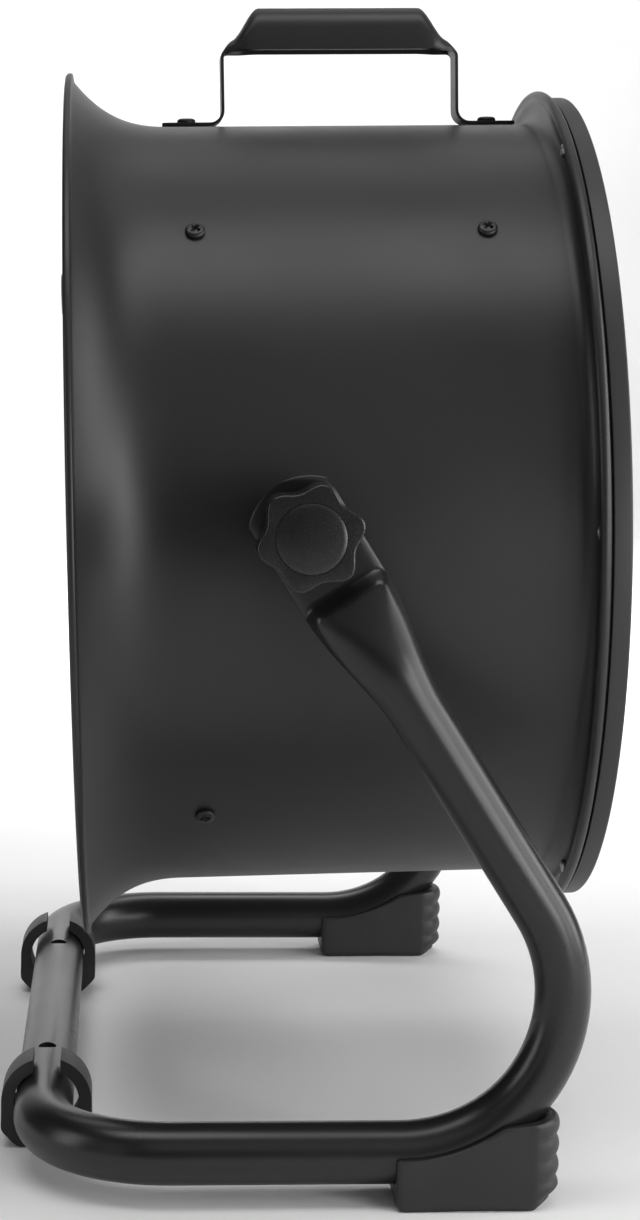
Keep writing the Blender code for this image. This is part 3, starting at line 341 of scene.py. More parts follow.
def soften(outline, radius, steps=4):
    """Round every corner of a flat outline that is sharper than 20 degrees."""
    result = []
    count = len(outline)
    for i, corner in enumerate(outline):
        here = Vector(corner)
        before = Vector(outline[i - 1]) - here
        after = Vector(outline[(i + 1) % count]) - here
        on_axis = abs(corner[1]) < 1e-9
        turn_angle = math.pi - before.angle(after, math.pi)
        if turn_angle < math.radians(20) or on_axis:
            result.append(tuple(corner))
            continue
        half = (math.pi - turn_angle) / 2
        reach = min(radius / math.tan(half), before.length * 0.45, after.length * 0.45)
        start = here + before.normalized() * reach
        end = here + after.normalized() * reach
        for k in range(steps + 1):
            t = k / steps
            point = start * (1 - t) ** 2 + here * (2 * t * (1 - t)) + end * t ** 2
            result.append((point.x, point.y))
    return result


def prism(bm, outline, depth, place):
    """Extrude a flat (u, v) outline from w = 0 to w = depth, then move it by place."""
    skin(bm, [[place @ Vector((u, v, w)) for u, v in outline] for w in (0, depth)])


def rounded_prism(bm, outline, depth, place, edge, steps=3):
    """Extrude an outline whose rims at both ends are rounded inwards by edge."""
    center = Vector([sum(p[i] for p in outline) / len(outline) for i in (0, 1)])
    span = max((Vector(p) - center).length for p in outline)
    angles = [math.pi / 2 * k / steps for k in range(steps + 1)]
    stations = [(edge * (1 - math.sin(a)), edge * (1 - math.cos(a))) for a in angles]
    stations += [(inset, depth - w) for inset, w in reversed(stations)]
    skin(bm, [[place @ Vector((*(center + (Vector(p) - center) * (1 - inset / span)), w)) for p in outline]
              for inset, w in stations])


def block(name, outline, depth, place, edge, mat, nodes=(), steps=3, frame_place=AXIS, angle=40.0):
    """A finished piece of the drum unit that is one rounded prism."""
    bm = bmesh.new()
    rounded_prism(bm, outline, depth, place, edge, steps)
    add_piece(name, bm, mat, "drum_unit", frame_place, nodes, angle)


def circle(radius, sides, center=(0, 0)):
    """Corners of a regular outline."""
    step = 2 * math.pi / sides
    return [(center[0] + radius * math.cos(k * step), center[1] + radius * math.sin(k * step))
            for k in range(sides)]


def rectangle(width, height):
    """Corners of a rectangle round the origin."""
    u, v = width / 2, height / 2
    return [(-u, -v), (u, -v), (u, v), (-u, v)]


def tube_outline(ends, inner, outer):
    """Half section of a plain tube, for turning: ends along x, then its two radii."""
    return [(ends[0], inner), (ends[0], outer), (ends[1], outer), (ends[1], inner)]


def facing(origin, normal, up=(0, 0, 1)):
    """Matrix whose local z is normal and whose local y is as near up as it can be."""
    z = Vector(normal).normalized()
    x = Vector(up).cross(z).normalized()
    rot = Matrix((x, z.cross(x), z)).transposed().to_4x4()
    return Matrix.Translation(origin) @ rot


def wire(bm, points, radius):
    """A round rod through points, with domed ends."""
    count = len(points)
    rings = []
    for i, point in enumerate(points):
        ahead = points[min(i + 1, count - 1)]
        behind = points[max(i - 1, 0)]
        along = (ahead - behind).normalized()
        side = along.cross(Vector((1, 0, 0)))
        if side.length < 0.1:
            side = along.cross(Vector((0, 1, 0)))
        side.normalize()
        other = along.cross(side)
        ends = [(-1, 0.35), (-0.6, 0.8), (0, 1.0)] if i == 0 else [(0, 1.0)]
        if i == count - 1:
            ends = [(0, 1.0), (0.6, 0.8), (1, 0.35)]
        for shift, scale in ends:
            center = point + along * (radius * shift)
            rings.append([center + (side * u + other * v) * scale for u, v in circle(radius, 10)])
    skin(bm, rings)


def smoothstep(value):
    """Ease from 0 to 1 as value goes from 0 to 1, held beyond."""
    t = min(1.0, max(0.0, value))
    return t * t * (3 - 2 * t)


def mix(a, b, t):
    """The value at share t of the way from a to b."""
    return a + (b - a) * t


def cut(target, cutter):
    """Exact Boolean difference, applied, with the cutter removed."""
    mod = target.modifiers.new("cut", "BOOLEAN")
    mod.operation = "DIFFERENCE"
    mod.solver = "EXACT"
    mod.object = cutter
    bpy.context.view_layer.update()
    result = bpy.data.meshes.new_from_object(target.evaluated_get(bpy.context.evaluated_depsgraph_get()))
    target.modifiers.clear()
    old = target.data
    target.data = result
    bpy.data.meshes.remove(old)
    bpy.data.objects.remove(cutter, do_unlink=True)
    target.data.shade_smooth()
    target.data.set_sharp_from_angle(angle=math.radians(35))


def cutter_object(bm, place=WORLD):
    """An object for cut() that is not rendered."""
    bmesh.ops.recalc_face_normals(bm, faces=bm.faces[:])
    obj = linked("cutter", mesh_of("cutter", bm))
    obj.matrix_world = place
    obj.hide_render = True
    return obj


# --- screws -----------------------------------------------------------------------------
def cross_recess_mesh(name, head_r, head_h, mat):
    """Pan head with a rolled edge, a crowned top and a tapered cross recess."""
    outline = [(0, 0), (0, head_r * 0.96), (head_h * 0.18, head_r)]
    outline += [(head_h * (0.35 + 0.65 * math.sin(a)), head_r * (1 - 0.42 * (1 - math.cos(a))))
                for a in (math.radians(15 * k) for k in range(1, 7))]
    outline += [(head_h, 0)]
    bm = bmesh.new()
    turn(bm, outline, 32)
    head = cutter_object(bm)
    bm = bmesh.new()
    arm, width, depth = head_r * 0.58, head_r * 0.21, head_h * 0.8
    for quarter in range(2):
        for sign in (-1, 1):
            rings = []
            for x, scale in ((head_h * 1.2, 1.1), (head_h - depth, 0.45)):
                u, v = arm * scale, width * (0.6 + 0.4 * scale)
                flat = [(0.0, -v), (u, -v), (u, v), (0.0, v)]
                if quarter:
                    rings.append([Vector((x, b, sign * a)) for a, b in flat])
                else:
                    rings.append([Vector((x, sign * a, b)) for a, b in flat])
            skin(bm, rings)
    recess = cutter_object(bm)
    mod = recess.modifiers.new("join", "REMESH")
    mod.mode = "VOXEL"
    mod.voxel_size = head_r * 0.03
    cut(head, recess)
    mesh = head.data
    mesh.name = name
    bpy.data.objects.remove(head, do_unlink=True)
    mesh.materials.clear()
    mesh.materials.append(mat)
    return mesh


def set_screw_head(name, mesh, origin, outward, body, stands_for=(), roll=0.0):
    """Place a shared screw head with its underside at origin and its crown outwards."""
    place = facing(origin, outward, (1, 0, 0) if abs(outward[0]) < 0.9 else (0, 0, 1))
    turned_up = place @ Matrix.Rotation(roll, 4, "Z") @ Matrix.Rotation(-math.pi / 2, 4, "Y")
    head = linked(name, mesh)
    head.matrix_world = AXIS @ turned_up
    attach(head, body)
    if stands_for:
        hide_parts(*stands_for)


def radial(angle):
    """Direction away from the fan axis, 0 towards +Y and 90 degrees up."""
    return Vector((0, math.cos(angle), math.sin(angle)))


def make_screws():
    """Wall, handle and flange screws, each turned to its own angle."""
    pan = cross_recess_mesh("pan_head", 4.6 * MM, 2.2 * MM, SCREW_STEEL)
    small = cross_recess_mesh("small_pan_head", 3.1 * MM, 1.6 * MM, ZINC)
    for row, x in (("rear", REAR_SCREW_X), ("front", FRONT_SCREW_X)):
        for index, angle in enumerate(SCREW_ANGLES):
            out = radial(angle)
            origin = Vector((x, 0, 0)) + out * (DRUM_R + GAP)
            set_screw_head(f"{row}_wall_screw_head_{index + 1}", pan, origin, out, "drum_unit",
                           (f"{row}_wall_screw_{index + 1}",), roll=0.7 * index + 0.3)
    for word, x in zip(("rear", "front"), HANDLE_SCREW_X):
        origin = Vector((x, 0, DRUM_R + HANDLE_T + 2 * GAP))
        set_screw_head(f"handle_screw_head_{word}", pan, origin, Vector((0, 0, 1)), "drum_unit",
                       (f"handle_screw_{word}",), roll=0.5)
    rear = Vector((-1, 0, 0))
    for k in range(FLANGE_SCREWS):
        origin = Vector((FLANGE_X - 0.1 * MM, 0, 0))
        origin += radial(2 * math.pi * k / FLANGE_SCREWS) * FLANGE_SCREW_R
        set_screw_head(f"flange_screw_head_{k + 1}", small, origin, rear, "drum_unit", roll=0.4 * k)


# --- drum -------------------------------------------------------------------------------
def bell_radius(x):
    """Outer radius of the drum's wall at x, where the bell flares towards the inlet."""
    t = max(0.0, (REAR_RIM_X + BELL_LENGTH - x) / BELL_LENGTH)
    return DRUM_R + (REAR_RIM_R - DRUM_R) * t ** BELL_POWER


def make_drum():
    """Spun sheet drum: rolled inlet bead, bell, straight wall, filleted flange with a rolled edge."""
    stops = [1.5 + 48.5 * (k / 22) ** 1.3 for k in range(23)]
    outer = [(REAR_RIM_X + s * MM, bell_radius(REAR_RIM_X + s * MM)) for s in stops]
    fillet = (FLANGE_X - FLANGE_FILLET, DRUM_R + FLANGE_FILLET)
    bead = (FLANGE_X + SHEET / 2, FLANGE_R)
    outline = outer + [(x, DRUM_R) for x in (-20 * MM, 40 * MM, 90 * MM)]
    outline += arc(fillet, FLANGE_FILLET, -90, 0, 12)
    outline += [(FLANGE_X, FLANGE_R - 3.4 * MM)]
    outline += arc(bead, FLANGE_BEAD_R, 225, -45, 16)
    outline += [(FLANGE_X + SHEET, FLANGE_R - 3.4 * MM)]
    outline += arc(fillet, FLANGE_FILLET + SHEET, 0, -90, 12)
    outline += [(x, r - SHEET) for x, r in reversed(outer)]
    outline += arc((REAR_RIM_X, REAR_RIM_R), BEAD_R, -55, -305, 16)
    turned("drum_skin", outline, 256, DRUM_COAT, "drum_unit", ("drum_shell",), angle=50)


# --- outlet guard -----------------------------------------------------------------------
WIRE_R = 1.3 * MM
WELD_DEPTH = 1.3 * MM
FRONT_RIB_X = 137.2 * MM
FRONT_RING_X = FRONT_RIB_X + 2 * WIRE_R - WELD_DEPTH
FRONT_FIRST_RING = 38.0 * MM
FRONT_RING_STEP = 13.25 * MM
FRONT_RING_COUNT = 13
REAR_RIB_X = -93.0 * MM
REAR_RING_X = REAR_RIB_X - 2 * WIRE_R + WELD_DEPTH
REAR_FIRST_RING = 6.3 * MM
REAR_RING_STEP = 13.2 * MM
REAR_RING_COUNT = 15
BADGE_R = 34.0 * MM


def make_band():
    """Hoop of the outlet guard: a rolled channel with eased front corners."""
    wall = 1.5 * MM
    seat = FLANGE_X + SHEET + GAP
    outline = [
        (seat, 189.5 * MM), (seat, 197.6 * MM), (BAND_REAR_X, BAND_R - wall), (BAND_REAR_X, BAND_R),
        (BAND_FRONT_X, BAND_R), (BAND_FRONT_X, BAND_R - 4.0 * MM), (BAND_FRONT_X - wall, BAND_R - 4.0 * MM),
        (BAND_FRONT_X - wall, BAND_R - wall), (BAND_REAR_X + wall, BAND_R - wall - 0.2 * MM),
        (seat + wall, 196.9 * MM), (seat + wall, 189.5 * MM),
    ]
    turned("guard_hoop", soften(outline, 1.1 * MM, 5), 256, BAND_COAT, "drum_unit", ("guard_band",))


def make_grille(name, node, ring_x, rings, rib_x, spans):
    """Welded wires: round rings, and straight ribs sunk a little into them."""
    bm = bmesh.new()
    for radius in rings:
        turn(bm, circle(WIRE_R, 8, center=(ring_x, radius)), 128)
    for count, phase, inner, outer in spans:
        for k in range(count):
            out = radial(phase + 2 * math.pi * k / count)
            steps = 6
            points = [Vector((rib_x, 0, 0)) + out * mix(inner, outer, i / steps) for i in range(steps + 1)]
            wire(bm, points, WIRE_R)
    add_piece(name, bm, WIRE_COAT, "drum_unit", AXIS, (node,))


def make_guards():
    """Outlet guard with every second rib cut short, and inlet guard."""
    front = [FRONT_FIRST_RING + FRONT_RING_STEP * k for k in range(FRONT_RING_COUNT)]
    rim = BAND_R - 2.2 * MM
    make_grille("front_grille", "front_guard", FRONT_RING_X, front, FRONT_RIB_X,
                [(8, 0.0, BADGE_R - 6 * MM, rim), (8, math.pi / 8, front[3], rim)])
    rear = [REAR_FIRST_RING + REAR_RING_STEP * k for k in range(REAR_RING_COUNT)]
    make_grille("rear_grille", "rear_guard", REAR_RING_X, rear, REAR_RIB_X,
                [(8, math.pi / 8, REAR_FIRST_RING, 200.2 * MM)])


def make_badge():
    """Blank badge: a raised rim round a shallow dish."""
    low, high = local_box("front_badge", AXIS)
    face = high.x
    outline = [(low.x, 0), (low.x, BADGE_R), (face - 0.8 * MM, BADGE_R), (face, BADGE_R - 0.9 * MM),
               (face, BADGE_R - 3.2 * MM), (face - 0.9 * MM, BADGE_R - 4.4 * MM)]
    outline += [(face - 0.9 * MM + 0.6 * MM * (1 - (r / (BADGE_R - 5 * MM)) ** 2), r)
                for r in ((BADGE_R - 5 * MM) * (1 - k / 8) for k in range(8))]
    outline += [(face - 0.3 * MM, 0)]
    turned("blank_badge", outline, 96, BADGE_PLASTIC, "drum_unit", ("front_badge",))


def make_guard_brackets():
    """Pressed angle pieces with softened bends, one behind each front wall screw."""
    top = DRUM_R - SHEET - 2.6 * MM
    end = FRONT_RIB_X - WIRE_R - GAP
    sheet = 2.0 * MM
    outline = [
        (FRONT_SCREW_X - 10 * MM, top), (end - 12 * MM, top), (end, top - 11 * MM), (end, top - 24 * MM),
        (end - sheet, top - 24 * MM), (end - sheet, top - 12 * MM), (end - 13 * MM, top - sheet),
        (FRONT_SCREW_X - 10 * MM, top - sheet),
    ]
    for index, angle in enumerate(SCREW_ANGLES):
        bm = bmesh.new()
        prism(bm, soften(outline, 2.2 * MM, 4), 16 * MM, radial_place(angle, 8 * MM))
        piece = add_piece(f"guard_clip_{index + 1}", bm, BRACKET_COAT, "drum_unit", AXIS,
                          (f"guard_bracket_{index + 1}",))
        add_bevel(piece, 0.35 * MM)


def radial_place(angle, half_width):
    """Frame for a plate cut to an (x, radius) outline, centred on a radial plane."""
    out = radial(angle)
    along = Vector((1, 0, 0))
    basis = Matrix((along, out, along.cross(out))).transposed().to_4x4()
    return basis @ Matrix.Translation((0, 0, -half_width))


# --- handle -----------------------------------------------------------------------------
HANDLE_REAR_X = -25.0 * MM
HANDLE_FRONT_X = 91.0 * MM
HANDLE_T = 1.5 * MM
HANDLE_EDGE_H = 36.5 * MM
STRAP_HALF_W = 9.8 * MM
GRIP_HALF_W = 12.5 * MM
REAR_FOOT_END_X = -55.0 * MM
FRONT_FOOT_END_X = 120.0 * MM
FOOT_BEND_R = 6.5 * MM
CORNER_BEND_R = 3.2 * MM
HANDLE_SCREW_X = (-43.0 * MM, 107.0 * MM)
GRIP_TOE = 4.5 * MM                  # first small rise of the grip, just inside its leg
GRIP_RISE = 16.0 * MM                # the main rise after it


def grip_crown(d):
    """Height of the grip's crown over its edges, d metres inside the nearer leg."""
    return GRIP_TOE * smoothstep(d / (5 * MM)) + GRIP_RISE * smoothstep((d - 4 * MM) / (14.5 * MM))


def strap_path():
    """Middle line (x, height over the drum) of the handle's strap, rear foot to front foot."""
    low = GAP + HANDLE_T / 2
    top = HANDLE_EDGE_H
    half = [(REAR_FOOT_END_X, low), (REAR_FOOT_END_X + 4 * MM, low)]
    half += arc((HANDLE_REAR_X - FOOT_BEND_R, low + FOOT_BEND_R), FOOT_BEND_R, -90, 0, 8)
    half += [(HANDLE_REAR_X, mix(low + FOOT_BEND_R, top - CORNER_BEND_R, k / 4)) for k in range(1, 4)]
    half += arc((HANDLE_REAR_X + CORNER_BEND_R, top - CORNER_BEND_R), CORNER_BEND_R, 180, 90, 6)
    middle = (HANDLE_REAR_X + HANDLE_FRONT_X) / 2
    start = HANDLE_REAR_X + CORNER_BEND_R
    half += [(start + step * MM, top) for step in range(1, 19)]
    half += [(mix(start + 18 * MM, middle, k / 6), top) for k in range(1, 6)]
    mirrored = [(2 * middle - x, h) for x, h in reversed(half)]
    shift = FRONT_FOOT_END_X - mirrored[-1][0]
    mirrored[-1] = (FRONT_FOOT_END_X, low)
    mirrored[-2] = (mirrored[-2][0] + shift, low)
    return half + [(middle, top)] + mirrored


def make_handle():
    """Strap handle pressed from one blank: flat feet and legs, arched grip."""
    points = strap_path()
    across = 24
    rings = []
    for i, (x, h) in enumerate(points):
        ahead = points[min(i + 1, len(points) - 1)]
        behind = points[max(i - 1, 0)]
        run, rise = ahead[0] - behind[0], ahead[1] - behind[1]
        length = math.hypot(run, rise)
        normal = Vector((-rise / length, 0, run / length))
        inside = min(x - HANDLE_REAR_X, HANDLE_FRONT_X - x)
        crown = grip_crown(inside) if h > HANDLE_EDGE_H - 0.6 * CORNER_BEND_R else 0.0
        arched = crown / (GRIP_TOE + GRIP_RISE)
        half_w = mix(STRAP_HALF_W, GRIP_HALF_W, smoothstep(arched * 1.6))
        foot_round = 1.0
        end_gap = min(x - REAR_FOOT_END_X, FRONT_FOOT_END_X - x)
        if h < 2 * HANDLE_T and end_gap < 2 * MM:
            foot_round = 0.86
        upper, lower = [], []
        for k in range(across + 1):
            a = math.pi * k / across
            side = -math.cos(a) * half_w * foot_round
            arch = crown * math.sin(a) ** 0.62
            slope_out = -math.cos(a) * arched
            lift = HANDLE_T / 2
            center = Vector((x, side, DRUM_R + h + arch))
            tilt = (normal * (1 - 0.8 * abs(slope_out)) + Vector((0, slope_out, 0))).normalized()
            upper.append(center + tilt * lift)
            lower.append(center - tilt * lift)
        rings.append(upper + list(reversed(lower)))
    bm = bmesh.new()
    skin(bm, rings)
    handle = add_piece("handle_strap", bm, HANDLE_COAT, "drum_unit", AXIS, ("carry_handle",), angle=50)
    add_bevel(handle, 0.35 * MM, 60)


# --- stand tube -------------------------------------------------------------------------
LEG_DIR = Vector((math.sin(LEG_ANGLE), 0, -math.cos(LEG_ANGLE)))
BEND_Z = TUBE_Z + LEG_BEND_R
BEND_X = ((PIVOT.z - BEND_Z) * math.sin(LEG_ANGLE) - LEG_BEND_R) / math.cos(LEG_ANGLE)
STAND = Matrix.Translation((PIVOT.x, 0, 0))
TUBE_SIDES = 56
CROSS_HOLE_Y = 99.0 * MM
CROSS_HOLE_R = 4.3 * MM
CREASE_RISE = 4.7 * MM               # the crease's middle stands this far above the pressed end's foot
CREASE_BOW = 5.3 * MM                # and its ends this much lower
HOLLOW_STEP = 0.26                   # share of the swelling that comes at once, at the crease
HOLLOW_STEP_LENGTH = 7.0 * MM
HOLLOW_LENGTH = 46.0 * MM
INNER_SWELL_LENGTH = 40.0 * MM
SQUARE_LENGTH = 30.0 * MM


def leg_ring(s):
    """Section of the -Y leg, s metres below the tilt axis: pressed flat, swelling into the tube."""
    wide = smoothstep((s - PADDLE_LENGTH) / (CRUSH_WIDE_END - PADDLE_LENGTH))
    half_w = mix(PADDLE_HALF_W, LEG_HALF[0], wide)
    if s < 0:
        half_w = min(half_w, math.sqrt(max(PADDLE_END_R ** 2 - (s - PADDLE_END_S) ** 2, 0.0)))
    across = Vector((math.cos(LEG_ANGLE), 0, math.sin(LEG_ANGLE)))
    origin = Vector((0, 0, PIVOT.z)) + LEG_DIR * s
    ring = []
    for k in range(TUBE_SIDES):
        a = 2 * math.pi * (k + 0.5) / TUBE_SIDES
        c, v = math.cos(a), math.sin(a)
        crease = PADDLE_LENGTH - CREASE_RISE + CREASE_BOW * c * c
        past = max(0.0, s - crease)
        step = HOLLOW_STEP * max(0.0, 1 - c * c)
        rest = 2 * smoothstep(0.5 + 0.5 * past / HOLLOW_LENGTH) - 1
        swell = step * smoothstep(past / HOLLOW_STEP_LENGTH) + (1 - step) * rest
        inner_swell = smoothstep((s - PADDLE_LENGTH) / INNER_SWELL_LENGTH)
        square = mix(0.22, 1.0, smoothstep((s - PADDLE_LENGTH) / SQUARE_LENGTH))
        flat_c = math.copysign(abs(c) ** square, c)
        edge = math.sqrt(max(0.0, 1 - flat_c ** 8))
        if v > 0:
            flat_y = PADDLE_Y + PADDLE_HALF_T * edge
            y = mix(flat_y, TUBE_Y + LEG_HALF[1] * v, swell)
        else:
            flat_y = PADDLE_Y - PADDLE_HALF_T * edge
            y = mix(flat_y, TUBE_Y + LEG_HALF[1] * v, inner_swell)
        ring.append(origin + across * (half_w * flat_c) + Vector((0, -y, 0)))
    return ring


def oval_ring(center, u_axis, v_axis, half):
    """Section of the tube: an oval round center with its two half widths."""
    angles = [2 * math.pi * (k + 0.5) / TUBE_SIDES for k in range(TUBE_SIDES)]
    return [center + u_axis * (half[0] * math.cos(a)) + v_axis * (half[1] * math.sin(a)) for a in angles]


def half_stand_rings():
    """Rings from the pressed end of the -Y leg to the middle of the cross tube."""
    end = PADDLE_END_R - 0.1 * MM
    rings = [leg_ring(PADDLE_END_S - end * math.cos(math.radians(7 * k))) for k in range(8)]
    rings += [leg_ring(s * MM) for s in (-8, 0, 10, 20)]
    rings += [leg_ring(PADDLE_LENGTH + 0.8 * MM * k) for k in range(-8, 12)]
    rings += [leg_ring(PADDLE_LENGTH + 2.5 * MM * k) for k in range(4, 26)]
    rings.append(leg_ring(120 * MM))
    rings.append(leg_ring(150 * MM))
    outward = Vector((0, -1, 0))
    sweep = math.pi / 2 + LEG_ANGLE
    steps = 28
    for k in range(steps + 1):
        angle = LEG_ANGLE - sweep * k / steps
        out = Vector((math.cos(angle), 0, math.sin(angle)))
        t = smoothstep((k / steps - 0.55) / 0.45)
        half = (mix(LEG_HALF[0], LOOP_HALF[0], t), mix(LEG_HALF[1], LOOP_HALF[1], t))
        center = Vector((BEND_X, -TUBE_Y, BEND_Z)) + out * LEG_BEND_R
        rings.append(oval_ring(center, out, outward, half))
    corner = Vector((CROSS_X + CORNER_R, -TUBE_Y + CORNER_R, TUBE_Z))
    steps = 18
    for k in range(steps + 1):
        angle = math.pi / 2 * k / steps
        out = Vector((-math.sin(angle), -math.cos(angle), 0))
        rings.append(oval_ring(corner + out * CORNER_R, Vector((0, 0, -1)), out, LOOP_HALF))
    return rings


def make_stand_tube():
    """One bent tube from pressed end to pressed end, with the two holes in its cross run."""
    near = half_stand_rings()
    far = [[Vector((p.x, -p.y, p.z)) for p in ring] for ring in reversed(near)]
    bm = bmesh.new()
    skin(bm, near + far)
    tube = add_piece("bent_tube", bm, TUBE_COAT, "stand", STAND, ("stand_tube",), angle=60)
    bm = bmesh.new()
    top = TUBE_Z + LOOP_HALF[0]
    for _, side in SIDES:
        skin(bm, [[Vector((CROSS_X + u, side * CROSS_HOLE_Y + v, z)) for u, v in circle(CROSS_HOLE_R, 32)]
                  for z in (top - 5 * MM, top + 5 * MM)])
    cut(tube, cutter_object(bm, STAND))


# --- stand feet ---------------------------------------------------------------------------
BOOT_REAR_X = 41.7 * MM
BOOT_FRONT_X = 114.3 * MM
BOOT_HALF_W = 16.8 * MM
BOOT_NOSE = 14.0 * MM
BOOT_LOW_H = 22.6 * MM
BOOT_RISE_X = 44.0 * MM
BOOT_RIDGE_START = 3.0 * MM
BOOT_RIDGE_STEP = 9.2 * MM
CLIP_R = 20.7 * MM
CLIP_BORE_R = 15.0 * MM
CLIP_OPENING = 6.3 * MM
CLIP_CHAMFER = 7.5 * MM
CLIP_Y = (122.0 * MM, 144.0 * MM)
CLIP_SHIFT = 1.0 * MM


def boot_height(x):
    """Top of the boot's wall, which follows the tube's bend and then runs level."""
    curve = BOOT_LOW_H + max(0.0, x - BOOT_RISE_X) ** 2 / (140 * MM)
    level = 36.8 * MM + 0.1 * (x - 88.3 * MM)
    return min(curve, level)


def boot_plan():
    """Plan outline with its outward normals, closed, square end towards the inlet."""
    corner = 2.6 * MM
    shoulder = BOOT_FRONT_X - BOOT_NOSE
    points = arc((BOOT_REAR_X + corner, -BOOT_HALF_W + corner), corner, 180, 270, 4)
    points += [(mix(BOOT_REAR_X + corner, shoulder, k / 14), -BOOT_HALF_W) for k in range(1, 14)]
    points += [(shoulder + BOOT_NOSE * math.cos(a), BOOT_HALF_W * math.sin(a))
               for a in (-math.pi / 2 + math.pi * k / 28 for k in range(29))]
    points += [(mix(BOOT_REAR_X + corner, shoulder, k / 14), BOOT_HALF_W) for k in range(13, 0, -1)]
    points += arc((BOOT_REAR_X + corner, BOOT_HALF_W - corner), corner, 90, 180, 4)
    return points


def make_boot(word, side):
    """Moulded shoe: a channel for the tube, a parting line and four grip ridges round its nose."""
    y = side * TUBE_Y
    plan = boot_plan()
    shoulder = BOOT_FRONT_X - BOOT_NOSE
    center = Vector((mix(BOOT_REAR_X, BOOT_FRONT_X, 0.5), 0))
    levels = 44
    rings = []
    for i in range(levels + 1):
        t = i / levels
        ring = []
        for px, py in plan:
            z = t * boot_height(px)
            nose = smoothstep((px - shoulder) / (BOOT_NOSE * 0.9))
            ridge = 0.0
            if z > BOOT_RIDGE_START:
                wave = math.sin(math.pi * (z - BOOT_RIDGE_START) / BOOT_RIDGE_STEP)
                ridge = 1.5 * MM * nose * (1 - abs(wave))
            edge = 1.6 * MM * (1 - smoothstep(z / (2.2 * MM)))
            edge += 5 * MM * nose * (1 - smoothstep(z / (9 * MM)))
            edge += 0.7 * MM * smoothstep((t - 0.975) / 0.025)
            groove = 0.35 * MM * (1 - smoothstep(abs(px - shoulder) / (0.9 * MM)))
            inward = (center - Vector((px, py))).normalized()
            shift = inward * (edge + ridge + groove)
            ring.append(Vector((px + shift.x, y + py + shift.y, z)))
        rings.append(ring)
    bm = bmesh.new()
    skin(bm, rings)
    bmesh.ops.triangulate(bm, faces=[f for f in bm.faces if len(f.verts) > 4])
    boot = add_piece(f"moulded_boot_{word}", bm, RUBBER, "stand", STAND, (f"boot_{word}",), angle=50)
    cutter = bmesh.new()
    clear = 0.5 * MM
    half = (LOOP_HALF[0] + clear, LOOP_HALF[1] + clear)
    section = [(half[0] * math.cos(a), half[1] * math.sin(a))
               for a in (math.radians(-90 + 7.5 * k) for k in range(25))]
    section += [(-50 * MM, half[1]), (-50 * MM, -half[1])]
    cut_rings = []
    for k in range(-2, 15):
        angle = -math.pi / 2 + max(k, 0) * math.radians(6)
        out = Vector((math.cos(angle), 0, math.sin(angle)))
        middle = Vector((BEND_X + min(k, 0) * 12 * MM, y, BEND_Z)) + out * LEG_BEND_R
        cut_rings.append([middle + out * u + Vector((0, v, 0)) for u, v in section])
    skin(cutter, cut_rings)
    cut(boot, cutter_object(cutter, STAND))


def clip_outline(a):
    """Outer radius of the clip at an angle round the tube: round above, a chamfered flat foot below."""
    c, s = abs(math.cos(a)), math.sin(a)
    if s >= 0:
        return CLIP_R
    walls = (CLIP_R / max(c, 0.01), TUBE_Z / -s, (CLIP_R + TUBE_Z - CLIP_CHAMFER) / (c - s))
    return sum(wall ** -40 for wall in walls) ** (-1 / 40)


def make_clip(word, side):
    """Open rubber ring over the cross tube, flat underneath, with eased edges."""
    start = -CLIP_Y[1] if side < 0 else CLIP_Y[0]
    middle = CROSS_X - side * CLIP_SHIFT
    length = CLIP_Y[1] - CLIP_Y[0]
    bm = bmesh.new()
    rings = []
    lean = math.asin(CLIP_OPENING / CLIP_R)
    for step in range(81):
        outer = clip_outline(mix(math.pi / 2 + lean, 5 * math.pi / 2 - lean, step / 80))
        section = [(CLIP_BORE_R, 0), (outer, 0), (outer, length), (CLIP_BORE_R, length)]
        ring = []
        for r, y in soften(section, 1.2 * MM, 4):
            gap = math.asin(CLIP_OPENING / r)
            a = mix(math.pi / 2 + gap, 5 * math.pi / 2 - gap, step / 80)
            ring.append(Vector((middle + r * math.cos(a), start + y, TUBE_Z + r * math.sin(a))))
        rings.append(ring)
    skin(bm, rings)
    add_piece(f"rubber_clip_{word}", bm, RUBBER, "stand", STAND, (f"clip_foot_{word}",), angle=50)


# --- motor ------------------------------------------------------------------------------
MOTOR_R = 52.0 * MM
MOTOR_FLANGE_R = 62.0 * MM
MOTOR_REAR_X = -80.0 * MM
MOTOR_FRONT_X = -6.0 * MM
SHAFT_R = 6.0 * MM
STRUT_T = 3.0 * MM
STRUT_HALF_W = 12.0 * MM
MOTOR_SHELL_T = 2.5 * MM
BEARING_R = 13.0 * MM
BEARING_LENGTH = 9.0 * MM
MOTOR_FINS = 28
MOTOR_BOLT_R = 57.0 * MM
STATOR_X = (-64.0 * MM, -22.0 * MM)
STATOR_BORE_R = 30.5 * MM


